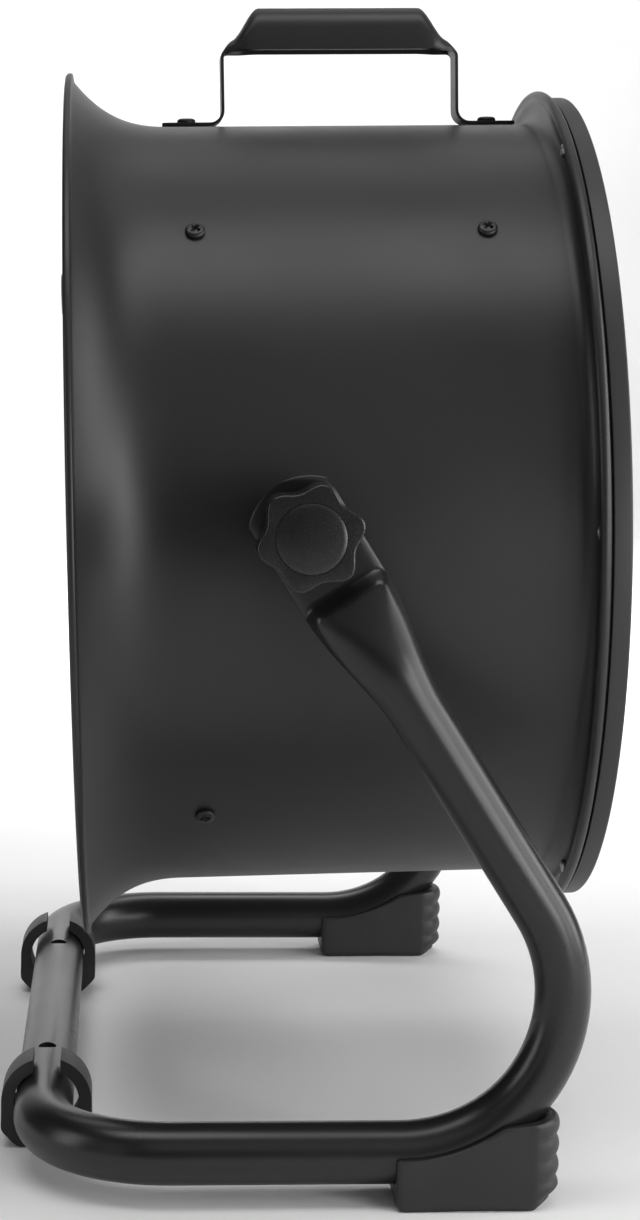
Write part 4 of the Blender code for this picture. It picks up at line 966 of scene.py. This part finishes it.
def make_motor_cover(name, node, end_x, joint_x):
    """Finned cup with a bearing boss at its end and a flange at the joint."""
    way = 1 if joint_x > end_x else -1
    wall = MOTOR_SHELL_T
    outline = [
        (end_x, SHAFT_R + 1.2 * MM), (end_x, BEARING_R + 3 * MM),
        (end_x + way * 1.2 * MM, BEARING_R + 6 * MM),
        (end_x + way * 1.2 * MM, MOTOR_R - 12 * MM), (end_x + way * 3.0 * MM, MOTOR_R - 5 * MM),
        (end_x + way * 9 * MM, MOTOR_R - 1.6 * MM), (joint_x - way * wall, MOTOR_R - 1.6 * MM),
        (joint_x - way * wall, MOTOR_FLANGE_R), (joint_x, MOTOR_FLANGE_R), (joint_x, MOTOR_R - wall),
        (end_x + way * 9 * MM, MOTOR_R - wall - 1.2 * MM), (end_x + way * 3.6 * MM, MOTOR_R - 10 * MM),
        (end_x + way * 3.6 * MM, BEARING_R + 3 * MM), (end_x + way * 11 * MM, BEARING_R + 3 * MM),
        (end_x + way * 11 * MM, BEARING_R + GAP), (end_x + way * 1.5 * MM, BEARING_R + GAP),
        (end_x + way * 1.5 * MM, SHAFT_R + 1.2 * MM),
    ]
    bm = bmesh.new()
    turn(bm, soften(outline, 1.2 * MM, 3), 96)
    low, high = sorted((end_x + way * 8 * MM, joint_x - way * 2.2 * MM))
    root, tip = MOTOR_R - 2.4 * MM, MOTOR_R - 0.1 * MM
    fin = [(low, root), (high, root), (high, tip), (low, tip)]
    for k in range(MOTOR_FINS):
        prism(bm, soften(fin, 0.8 * MM, 2), 1.8 * MM, radial_place(2 * math.pi * k / MOTOR_FINS, 0.9 * MM))
    add_piece(name, bm, MOTOR_COAT, "drum_unit", AXIS, (node,))


def make_bracket():
    """Welded bracket: a ring on the motor flange and four ribbed arms with feet on the drum wall."""
    back, front = REAR_SCREW_X - STRUT_T / 2, REAR_SCREW_X + STRUT_T / 2
    foot_r = DRUM_R - SHEET - 0.9 * MM
    ring = tube_outline((back, front), MOTOR_R + 1.0 * MM, MOTOR_FLANGE_R)
    arm = [
        (back, MOTOR_FLANGE_R - 5 * MM), (front, MOTOR_FLANGE_R - 5 * MM), (front, foot_r - 8 * MM),
        (front + 12 * MM, foot_r - STRUT_T), (front + 12 * MM, foot_r), (back - 12 * MM, foot_r),
        (back - 12 * MM, foot_r - STRUT_T), (back, foot_r - 8 * MM),
    ]
    bm = bmesh.new()
    turn(bm, soften(ring, 0.4 * MM, 2), 96)
    for angle in SCREW_ANGLES:
        prism(bm, soften(arm, 3.0 * MM, 4), 2 * STRUT_HALF_W, radial_place(angle, STRUT_HALF_W))
    bracket = add_piece("motor_mount", bm, BRACKET_COAT, "drum_unit", AXIS, ("motor_bracket",))
    add_bevel(bracket, 0.5 * MM)


def make_bearing(name, node, start):
    """Deep-groove bearing: outer and inner race, shields a little below their faces."""
    end = start + BEARING_LENGTH
    inner = SHAFT_R + GAP
    outline = [
        (start, inner), (start, inner + 2.2 * MM), (start + 0.5 * MM, inner + 2.4 * MM),
        (start + 0.5 * MM, BEARING_R - 2.2 * MM), (start, BEARING_R - 2.0 * MM), (start, BEARING_R),
        (end, BEARING_R), (end, BEARING_R - 2.0 * MM), (end - 0.5 * MM, BEARING_R - 2.2 * MM),
        (end - 0.5 * MM, inner + 2.4 * MM), (end, inner + 2.2 * MM), (end, inner),
    ]
    turned(name, soften(outline, 0.35 * MM, 2), 64, ZINC, "drum_unit", (node,))


def make_motor():
    """Motor between its two covers, with its bracket, bearings, bolts and stator."""
    rear_joint = REAR_SCREW_X - STRUT_T / 2 - GAP
    front_joint = REAR_SCREW_X + STRUT_T / 2 + GAP
    make_motor_cover("motor_cover_rear_finned", "motor_rear_cover", MOTOR_REAR_X, rear_joint)
    make_motor_cover("motor_cover_front_finned", "motor_front_cover", MOTOR_FRONT_X, front_joint)
    make_bracket()
    seat = 1.8 * MM
    make_bearing("rear_ball_bearing", "rear_bearing", MOTOR_REAR_X + seat)
    make_bearing("front_ball_bearing", "front_bearing", MOTOR_FRONT_X - seat - BEARING_LENGTH)
    heads = (("rear", rear_joint - MOTOR_SHELL_T, -1), ("front", front_joint + MOTOR_SHELL_T, 1))
    for k, angle in enumerate(SCREW_ANGLES):
        for tag, x, way in heads:
            out = radial(angle)
            place = facing(Vector((x, 0, 0)) + out * MOTOR_BOLT_R, (way, 0, 0))
            block(f"motor_bolt_{tag}_{k + 1}", circle(3.6 * MM, 6), 2.6 * MM, place, 0.5 * MM, ZINC, angle=30)
    stator_r = MOTOR_R - MOTOR_SHELL_T - GAP - 1.3 * MM
    stack = tube_outline(STATOR_X, STATOR_BORE_R, stator_r)
    turned("stator_stack", soften(stack, 0.6 * MM, 2), 96, LAMINATION, "drum_unit", ("stator",))


# --- rotor ------------------------------------------------------------------------------
BLADE_COUNT = 4
BLADE_ROOT_R = 40.0 * MM
BLADE_TIP_R = 177.0 * MM
BLADE_X = 52.0 * MM
BLADE_T = 1.4 * MM
HUB_R = 16.0 * MM
HUB_X = (28.0 * MM, 60.0 * MM)
SHAFT_X = (-77.0 * MM, 66.0 * MM)
ROTOR_CORE_X = (-62.0 * MM, -24.0 * MM)
ROTOR_CORE_R = 29.5 * MM
HUB_FLANGE_X = 44.0 * MM
HUB_FLANGE_R = 30.0 * MM
SPIDER_R = 34.0 * MM
ARM_T = 3.0 * MM
ARM_WIDTH = 18.0 * MM
ARM_END_R = 82.0 * MM
ARM_CLEARANCE = 6.5 * MM
RIVET_RADII = (60.0 * MM, 75.0 * MM)
RIVET_R = 2.2 * MM
RIVET_HEAD_R = 4.0 * MM
RIVET_HEAD_H = 1.6 * MM
HUB_BOLT_RING_R = 23.0 * MM


def blade_angle(index):
    """Where a blade stands round the hub."""
    return 2 * math.pi * index / BLADE_COUNT + math.radians(20)


def blade_pitch(radius):
    """The blade's slope to the plane of rotation, steeper at its root."""
    t = (radius - BLADE_ROOT_R) / (BLADE_TIP_R - BLADE_ROOT_R)
    return mix(math.radians(36), math.radians(21), t)


def blade_frame(angle, radius, pitch):
    """x along the chord from trailing to leading edge, y the outlet face, z outwards."""
    out = radial(angle)
    axial = Vector((1, 0, 0))
    chord = axial.cross(out) * math.cos(pitch) - axial * math.sin(pitch)
    rot = Matrix((chord, out.cross(chord), out)).transposed().to_4x4()
    return Matrix.Translation(Vector((BLADE_X, 0, 0)) + out * radius) @ rot


def blade_half_chord(t):
    """Half the chord at share t of the blade's span, drawn in at the rounded root and tip."""
    width = mix(26 * MM, 62 * MM, smoothstep(t * 1.25)) * (1 - 0.22 * smoothstep((t - 0.8) / 0.2))
    root = math.sqrt(max(0.0, 1 - max(0.0, 1 - t / 0.08) ** 2)) if t < 0.08 else 1.0
    tip = math.sqrt(max(0.0, 1 - max(0.0, (t - 0.93) / 0.07) ** 2)) if t > 0.93 else 1.0
    return width * mix(0.72, 1.0, root) * mix(0.80, 1.0, tip)


def blade_camber(t):
    """Depth of the blade's hollow at share t of its span."""
    return 5 * MM * math.sin(math.pi * min(1.0, t + 0.15) / 1.3)


def make_blade(index):
    """Cambered sheet blade with rounded corners, twisted from root to tip."""
    rows, columns = 40, 24
    start = BLADE_ROOT_R + 6 * MM
    rings = []
    for i in range(rows + 1):
        t = i / rows
        radius = mix(start, BLADE_TIP_R, t)
        half = blade_half_chord(t)
        camber = blade_camber(t)
        place = blade_frame(blade_angle(index), radius, blade_pitch(radius))
        front, back = [], []
        for j in range(columns + 1):
            w = 2 * j / columns - 1
            bow = camber * (1 - w * w)
            thin = BLADE_T / 2 * (0.55 if abs(w) > 0.999 else 1.0)
            front.append(place @ Vector((half * w, thin - bow, 0)))
            back.append(place @ Vector((half * w, -thin - bow, 0)))
        rings.append(front + list(reversed(back)))
    bm = bmesh.new()
    skin(bm, rings)
    add_piece(f"sheet_blade_{index + 1}", bm, BLADE_METAL, "rotor", AXIS,
              (f"fan_blade_{index + 1}",), angle=45)
    swap_axes = Matrix(((0, 1, 0, 0), (1, 0, 0, 0), (0, 0, -1, 0), (0, 0, 0, 1)))
    back = -ARM_CLEARANCE - 0.2 * MM
    for row, radius in enumerate(RIVET_RADII):
        place = blade_frame(blade_angle(index), radius, blade_pitch(radius))
        seat = BLADE_T / 2 - blade_camber((radius - start) / (BLADE_TIP_R - start))
        head = [(back, 0), (back, RIVET_R), (seat, RIVET_R), (seat, RIVET_HEAD_R)]
        head += [(seat + RIVET_HEAD_H * math.sin(a), RIVET_HEAD_R * math.cos(a))
                 for a in (math.radians(18 * k) for k in range(1, 5))]
        head += [(seat + RIVET_HEAD_H, 0)]
        bm = bmesh.new()
        turn(bm, head, 24, place=place @ swap_axes)
        add_piece(f"blade_rivet_{index + 1}_{row + 1}", bm, ZINC, "rotor", AXIS)


def make_rotor():
    """Hub with a bolted flange, shaft with a clip groove, rotor core, spider and blades."""
    core = SHAFT_R + GAP
    start, end = HUB_X
    flange_end = HUB_FLANGE_X + 3 * MM
    hub = [(start, core), (start, HUB_R), (HUB_FLANGE_X, HUB_R), (HUB_FLANGE_X, HUB_FLANGE_R),
           (flange_end, HUB_FLANGE_R), (flange_end, HUB_R), (end, HUB_R - 1 * MM), (end, core)]
    turned("cast_fan_hub", soften(hub, 1.0 * MM, 3), 64, HUB_METAL, "rotor", ("fan_hub",))
    start, end = SHAFT_X
    groove = (61 * MM, 62 * MM)
    shaft = [(start, 0), (start, SHAFT_R - 0.8 * MM), (start + 0.8 * MM, SHAFT_R), (groove[0], SHAFT_R),
             (groove[0], SHAFT_R - 0.5 * MM), (groove[1], SHAFT_R - 0.5 * MM), (groove[1], SHAFT_R),
             (end - 1 * MM, SHAFT_R), (end, SHAFT_R - 1 * MM), (end, 0)]
    turned("ground_shaft", shaft, 48, ZINC, "rotor", ("motor_shaft",))
    stack = soften(tube_outline(ROTOR_CORE_X, core, ROTOR_CORE_R), 0.6 * MM, 2)
    turned("rotor_stack", stack, 80, LAMINATION, "rotor", ("rotor_core",))
    make_spider()
    for index in range(BLADE_COUNT):
        make_blade(index)
    for k in range(BLADE_COUNT):
        angle = blade_angle(k) + math.pi / BLADE_COUNT
        place = facing(Vector((flange_end, 0, 0)) + radial(angle) * HUB_BOLT_RING_R, (1, 0, 0))
        bm = bmesh.new()
        rounded_prism(bm, circle(4.2 * MM, 6), 3.0 * MM, place, 0.5 * MM)
        add_piece(f"hub_bolt_{k + 1}", bm, ZINC, "rotor", AXIS, angle=30)


def make_spider():
    """Pressed plate on the hub whose four arms twist to lie under the blades."""
    front = HUB_FLANGE_X - GAP
    ring = tube_outline((front - ARM_T, front), HUB_R + GAP, SPIDER_R)
    bm = bmesh.new()
    turn(bm, soften(ring, 0.5 * MM, 2), 64)
    start, bend = SPIDER_R - 5 * MM, BLADE_ROOT_R + 8 * MM
    for index in range(BLADE_COUNT):
        rings = []
        for k in range(17):
            radius = mix(start, ARM_END_R, k / 16)
            t = smoothstep((radius - start) / (bend - start))
            pitch = mix(0.0, blade_pitch(max(radius, bend)), t)
            offset = mix(front - ARM_T / 2 - BLADE_X, -ARM_T / 2 - ARM_CLEARANCE, t)
            width = ARM_WIDTH * (0.7 if k == 16 else 1.0)
            place = blade_frame(blade_angle(index), radius, pitch)
            rings.append([place @ Vector((v, u + offset, 0)) for u, v in rectangle(ARM_T, width)])
        skin(bm, rings)
    spider = add_piece("pressed_spider", bm, ZINC, "rotor", AXIS, ("fan_spider",), angle=45)
    add_bevel(spider, 0.4 * MM, 60)


# --- controls ---------------------------------------------------------------------------
BOX_X = (-88.0 * MM, -54.0 * MM)
BOX_HALF_W = 34.0 * MM
BOX_R = (74.0 * MM, 136.0 * MM)
SPEED_KNOB_R = 12.3 * MM
SPEED_KNOB_X = (-6.5 * MM, 1.7 * MM)  # this and the stem's end are measured from the knob's joint
SPEED_FLUTES = 24
STEM_END_X = 20.0 * MM
STEM_R = 3.0 * MM
GLAND_X = -72.0 * MM
GLAND_RIBS = 18


def make_controls():
    """Switch box with rounded corners and a lid, the switch's collar, and the cord gland."""
    middle = (BOX_R[0] + BOX_R[1]) / 2
    height = BOX_R[1] - BOX_R[0]
    outer = soften(rectangle(2 * BOX_HALF_W, height), 5 * MM, 6)
    depth = BOX_X[1] - BOX_X[0]
    base = facing((BOX_X[0], 0, middle), (1, 0, 0))
    block("moulded_switch_box", outer, depth - 2.5 * MM, base, 1.2 * MM, BOX_PLASTIC, ("switch_box",))
    lid = facing((BOX_X[1] - 2.2 * MM, 0, middle), (1, 0, 0))
    block("moulded_box_lid", outer, 2.2 * MM, lid, 0.7 * MM, BOX_PLASTIC, ("switch_box_lid",))
    place = facing((BOX_X[0], 0, (KNOB_POINT - FAN_POINT).length), (-1, 0, 0))
    bm = bmesh.new()
    outline = [(0, 4.2 * MM), (0, 8.5 * MM), (1.0 * MM, 8.5 * MM), (1.4 * MM, 8.0 * MM), (1.4 * MM, 4.2 * MM)]
    turn(bm, outline, 48, place=place @ Matrix.Rotation(-math.pi / 2, 4, "Y"))
    add_piece("switch_collar", bm, ZINC, "drum_unit", AXIS)
    make_gland(middle)


def make_gland(height):
    """Cord gland with a ribbed nut, height above the fan axis, facing +Y."""
    outwards = Matrix.Translation((GLAND_X, BOX_HALF_W, height)) @ Matrix.Rotation(math.pi / 2, 4, "Z")
    body = [(-6 * MM, 4.0 * MM), (-6 * MM, 5.6 * MM), (GAP, 5.6 * MM), (GAP, 9 * MM), (1.8 * MM, 9 * MM),
            (1.8 * MM, 7.6 * MM), (6 * MM, 7.6 * MM), (8.6 * MM, 6.6 * MM), (9 * MM, 6 * MM),
            (9 * MM, 4.0 * MM)]
    bm = bmesh.new()
    turn(bm, soften(body, 0.4 * MM, 2), 48, place=outwards)
    rib = ((7.2 * MM, -0.06), (8.3 * MM, -0.04), (8.3 * MM, 0.04), (7.2 * MM, 0.06))
    for k in range(GLAND_RIBS):
        a = 2 * math.pi * k / GLAND_RIBS
        skin(bm, [[outwards @ Vector((x, r * math.cos(a + s), r * math.sin(a + s))) for r, s in rib]
                  for x in (1.6 * MM, 6.2 * MM)])
    add_piece("ribbed_cord_gland", bm, BOX_PLASTIC, "drum_unit", AXIS, ("cord_gland",))


def make_speed_knob():
    """Fluted control knob with a chamfered face, on the switch's stem."""
    front_x, back_x = SPEED_KNOB_X
    bm = bmesh.new()
    sides = 144
    rings = []
    stations = ((front_x, 0.80, 0.0), (front_x + 0.5 * MM, 0.86, 0.2), (front_x + 1.5 * MM, 0.97, 0.8),
                (front_x + 2.4 * MM, 1.0, 1.0), (back_x - 0.6 * MM, 1.0, 1.0), (back_x, 0.95, 0.6))
    for x, scale, flute in stations:
        ring = []
        for k in range(sides):
            a = 2 * math.pi * k / sides
            r = SPEED_KNOB_R * scale * (1 - 0.045 * flute * (0.5 - 0.5 * math.cos(SPEED_FLUTES * a)) ** 2)
            ring.append(Vector((x, r * math.cos(a), r * math.sin(a))))
        rings.append(ring)
    skin(bm, rings)
    add_piece("fluted_speed_knob", bm, KNOB_PLASTIC, "speed_control", SPEED, ("speed_knob",), angle=50)
    stem = tube_outline((back_x + GAP, STEM_END_X), 0, STEM_R)
    turned("switch_stem", stem, 32, ZINC, "speed_control", ("speed_knob_stem",), place=SPEED)


# --- tilt pivots --------------------------------------------------------------------------
BOSS_R = 18.0 * MM
PADDLE_IN = PADDLE_Y - PADDLE_HALF_T
PADDLE_OUT = PADDLE_Y + PADDLE_HALF_T
FRICTION_T = 1.4 * MM
WASHER_T = 1.6 * MM
KNOB_DEPTH = 24.0 * MM
KNOB_BASE = PADDLE_OUT + GAP + WASHER_T + GAP
KNOB_CAP_R = 15.0 * MM
STUD_START = 172.0 * MM
PLATE_OUT = 183.5 * MM
PLATE_T = 2.0 * MM


def side_place(side):
    """Frame whose x runs outwards along the tilt axis from the middle plane."""
    return TILT @ Matrix.Rotation(side * math.pi / 2, 4, "Z")


def add_washer(name, node, side, body, mat, start, end, inner, outer, ease=0.4 * MM):
    """A ring on the tilt axis, from start to end outwards, with eased edges."""
    outline = soften(tube_outline((start, end), inner, outer), ease, 2)
    turned(name, outline, 64, mat, body, (node,), place=side_place(side))


def knob_radius(a):
    """Radius of the star knob's outline at angle a."""
    wave = 0.5 + 0.5 * math.cos(KNOB_LOBES * (a - KNOB_PHASE))
    return mix(KNOB_VALLEY_R, KNOB_LOBE_R, wave ** 1.1)


def make_tilt_knob(word, side):
    """Star knob: softened lobes, a flat face, and a domed cap set in a fine groove."""
    sides = 180
    ease = 1.0 * MM
    face = KNOB_DEPTH - 1.4 * MM
    stations = [(0.0, -3.0 * MM), (0.5 * MM, -2.2 * MM), (2.2 * MM, -0.4 * MM), (3.4 * MM, 0.0)]
    stations += [(face - ease * (1 - math.sin(a)), -ease * (1 - math.cos(a)))
                 for a in (math.radians(15 * k) for k in range(7))]
    rings = []
    for depth, inset in stations:
        ring = []
        for k in range(sides):
            a = 2 * math.pi * k / sides
            r = knob_radius(a) + inset
            ring.append(Vector((-side * r * math.cos(a), side * depth, r * math.sin(a))))
        rings.append(ring)
    groove = 0.15 * MM
    cap = [(face, KNOB_CAP_R + 0.3 * MM), (face - groove, KNOB_CAP_R + 0.15 * MM),
           (face - groove, KNOB_CAP_R)]
    cap_edge = 0.5 * MM
    cap += [(face + cap_edge * math.sin(a), KNOB_CAP_R - cap_edge * (1 - math.cos(a)))
            for a in (0, math.radians(45), math.radians(90))]
    cap_r = KNOB_CAP_R - cap_edge
    rim = face + cap_edge
    cap += [(rim + (KNOB_DEPTH - rim) * (1 - (k / 10) ** 2), cap_r * k / 10) for k in range(9, 0, -1)]
    for depth, r in cap:
        rings.append([Vector((-side * u, side * depth, v)) for u, v in circle(r, sides)])
    bm = bmesh.new()
    skin(bm, rings)
    place = TILT @ Matrix.Translation((0, side * KNOB_BASE, 0))
    add_piece(f"star_knob_{word}", bm, KNOB_PLASTIC, f"knob_{word}", place,
              (f"tilt_knob_{word}",), angle=28)


def make_stud(word, side):
    """Threaded stud: a 60-degree thread turned as one helical strip round its core."""
    start, end = STUD_START, KNOB_BASE + 2 * MM
    sides = 20
    turns = int((end - start) / THREAD_PITCH)
    root = STUD_R - 0.62 * THREAD_PITCH
    bm = bmesh.new()
    profile = ((0.0, root), (0.38, STUD_R), (0.5, STUD_R), (0.88, root))
    rows = []
    for step in range(turns * sides + 1):
        a = 2 * math.pi * step / sides
        base = start + THREAD_PITCH * step / sides
        rows.append([bm.verts.new((base + f * THREAD_PITCH, r * math.cos(a), r * math.sin(a)))
                     for f, r in profile])
    for low, high in zip(rows, rows[1:]):
        for i in range(3):
            bm.faces.new((low[i], low[i + 1], high[i + 1], high[i]))
        bm.faces.new((low[3], low[0], high[0], high[3]))
    bm.faces.new(rows[0])
    bm.faces.new(list(reversed(rows[-1])))
    turn(bm, tube_outline((start, end + 4 * MM), 0, root), 32)
    add_piece(f"threaded_stud_{word}", bm, ZINC, f"knob_{word}", side_place(side),
              (f"knob_stud_{word}",), angle=35)


def make_pivots():
    """Both tilt clamps, from the nut inside the drum to the star knob."""
    for word, side in SIDES:
        add_washer(f"turned_boss_{word}", f"pivot_boss_{word}", side, "drum_unit", BRACKET_COAT,
                   DRUM_R + GAP, PADDLE_IN - FRICTION_T - 2 * GAP, STUD_HOLE_R, BOSS_R, 0.8 * MM)
        add_washer(f"rubber_washer_{word}", f"friction_washer_{word}", side, "drum_unit", FRICTION_RUBBER,
                   PADDLE_IN - FRICTION_T - GAP, PADDLE_IN - GAP, STUD_HOLE_R, BOSS_R)
        add_washer(f"flat_washer_{word}", f"knob_washer_{word}", side, f"clamp_{word}", ZINC,
                   KNOB_BASE - GAP - WASHER_T, KNOB_BASE - GAP, STUD_HOLE_R, 14 * MM)
        place = facing((0, side * PLATE_OUT, 0), (0, -side, 0))
        block(f"backing_plate_{word}", soften(rectangle(50 * MM, 46 * MM), 5 * MM, 5), PLATE_T, place,
              0.4 * MM, ZINC, (f"pivot_plate_{word}",), 2, TILT)
        place = facing((0, side * (PLATE_OUT - PLATE_T - GAP), 0), (0, -side, 0))
        block(f"weld_nut_{word}", circle(7.5 * MM, 6), 6.5 * MM, place, 0.8 * MM, ZINC,
              (f"pivot_nut_{word}",), 3, TILT, 30)
        make_tilt_knob(word, side)
        make_stud(word, side)


# --- floor, light and camera ---------------------------------------------------------------
CAMERA_FROM_PIVOT = Vector((-0.0764, -1.2896, 0.0973))
CAMERA_YAW = 0.0760
CAMERA_DOWN = 0.1194
CAMERA_ROLL = 0.0180
CAMERA_LENS = 75.39
STUDIO_MIDDLE = Vector((0, 0, 0.27))
STUDIO_DISTANCE = 1.7
STAGE_Y = (-3.0, 3.0)
STAGE_HALF_W = 4.0
STAGE_CURVE_R = 0.8
STAGE_TOP = 2.6
STAGE_DROP = 0.4 * MM


def make_camera():
    """Camera at the photo's angle, a little above the axis and rolled by a degree."""
    data = bpy.data.cameras.new("camera")
    data.lens = CAMERA_LENS
    data.sensor_width = 36.0
    data.sensor_fit = "AUTO"
    data.clip_start = 0.05
    data.clip_end = 50.0
    flat = math.cos(CAMERA_DOWN)
    ahead = Vector((math.sin(CAMERA_YAW) * flat, math.cos(CAMERA_YAW) * flat, -math.sin(CAMERA_DOWN)))
    level = Vector((math.cos(CAMERA_YAW), -math.sin(CAMERA_YAW), 0))
    upright = level.cross(ahead)
    c, s = math.cos(CAMERA_ROLL), math.sin(CAMERA_ROLL)
    right = level * c + upright * s
    up = upright * c - level * s
    rot = Matrix((right, up, -ahead)).transposed().to_4x4()
    camera = linked("camera", data)
    camera.matrix_world = Matrix.Translation(PIVOT + CAMERA_FROM_PIVOT) @ rot
    bpy.context.scene.camera = camera
    bpy.context.scene.view_settings.view_transform = "Standard"


def area_light(name, location, target, size, power, spread=180):
    """A soft box aimed at target."""
    data = bpy.data.lights.new(name, "AREA")
    data.shape = "RECTANGLE"
    data.size, data.size_y = size
    data.energy = power
    data.spread = math.radians(spread)
    light = linked(name, data)
    light.location = location
    light.rotation_euler = (Vector(target) - Vector(location)).to_track_quat("-Z", "Y").to_euler()


def make_stage():
    """Pale floor that curves up behind the object, in soft studio light."""
    bm = bmesh.new()
    side = [(STAGE_Y[0], 0.0), (STAGE_Y[1], 0.0)]
    side += [(STAGE_Y[1] + STAGE_CURVE_R * math.sin(a), STAGE_CURVE_R * (1 - math.cos(a)))
             for a in (math.radians(9 * k) for k in range(1, 11))]
    side.append((STAGE_Y[1] + STAGE_CURVE_R, STAGE_TOP))
    rows = [[bm.verts.new((x, y, z - STAGE_DROP)) for x in (-STAGE_HALF_W, STAGE_HALF_W)] for y, z in side]
    for low, high in zip(rows, rows[1:]):
        bm.faces.new((low[0], low[1], high[1], high[0]))
    mesh = mesh_of("sweep", bm)
    mesh.shade_smooth()
    mat, tree, shader = shader_material("pale_paper", specular=0.2)
    cloud = noise(tree, object_coords(tree), 3.0)
    tree.links.new(ramp(tree, cloud, (0.90, 0.90, 0.90), (0.93, 0.93, 0.93)), shader.inputs["Base Color"])
    tree.links.new(spread(tree, cloud, 0.85, 0.95), shader.inputs["Roughness"])
    mesh.materials.append(mat)
    linked("sweep", mesh)
    world = bpy.data.worlds.new("studio")
    world.use_nodes = True
    world.node_tree.nodes["Background"].inputs["Color"].default_value = (1.0, 1.0, 1.0, 1.0)
    world.node_tree.nodes["Background"].inputs["Strength"].default_value = 0.01
    bpy.context.scene.world = world


def around(azimuth, elevation):
    """A point round the object: azimuth 0 is on the camera's side, 90 on the outlet's."""
    a, e = math.radians(azimuth), math.radians(elevation)
    out = Vector((math.sin(a) * math.cos(e), -math.cos(a) * math.cos(e), math.sin(e)))
    return STUDIO_MIDDLE + out * STUDIO_DISTANCE


def make_lights():
    """Large soft boxes overhead, tall ones at the sides, and two washes for the backdrop and floor."""
    area_light("top_front_soft", (0, -0.4, 1.9), STUDIO_MIDDLE, (2.0, 0.7), 13.5)
    area_light("top_back_soft", (0, 0.8, 1.7), STUDIO_MIDDLE, (2.0, 0.9), 3.8)
    for name, azimuth, elevation, size, power in (
            ("high_front_soft", 5, 30, (1.4, 0.9), 1.6), ("low_card", 40, -5, (0.5, 0.4), 1.2),
            ("side_box", 45, 10, (0.4, 0.8), 7.0), ("tall_side_box", 66, 12, (0.5, 1.0), 6.5),
            ("outlet_box", 90, 15, (0.6, 1.2), 11.0), ("rim_box", 135, 20, (0.6, 1.2), 1.6),
            ("inlet_card", -40, 10, (0.5, 1.0), 0.6), ("inlet_box", -75, 10, (0.5, 1.0), 4.0)):
        area_light(name, around(azimuth, elevation), STUDIO_MIDDLE, size, power)
    area_light("near_card", (0.36, -0.72, 0.26), (0.12, -0.2, 0.29), (0.16, 0.2), 0.55)
    area_light("backdrop_wash", (0, 1.9, 1.9), (0, 3.6, 0.9), (1.6, 0.9), 48)
    area_light("floor_wash", (0, 1.5, 1.9), (0, 1.5, 0), (2.4, 1.2), 16, spread=80)


def build_looks():
    """Everything that is seen; the switch and the capacitor keep their CAD solids."""
    for make in (make_camera, make_stage, make_lights, make_drum, make_band, make_guards, make_badge,
                 make_guard_brackets, make_handle, make_screws, make_stand_tube):
        make()
    for word, side in SIDES:
        make_boot(word, side)
        make_clip(word, side)
    for make in (make_motor, make_rotor, make_controls, make_speed_knob, make_pivots):
        make()
    for node, mat in (("rotary_switch", BOX_PLASTIC), ("run_capacitor", CAPACITOR_CASE)):
        for slot in frame["nodes"][node].material_slots:
            slot.material = mat


build_looks()
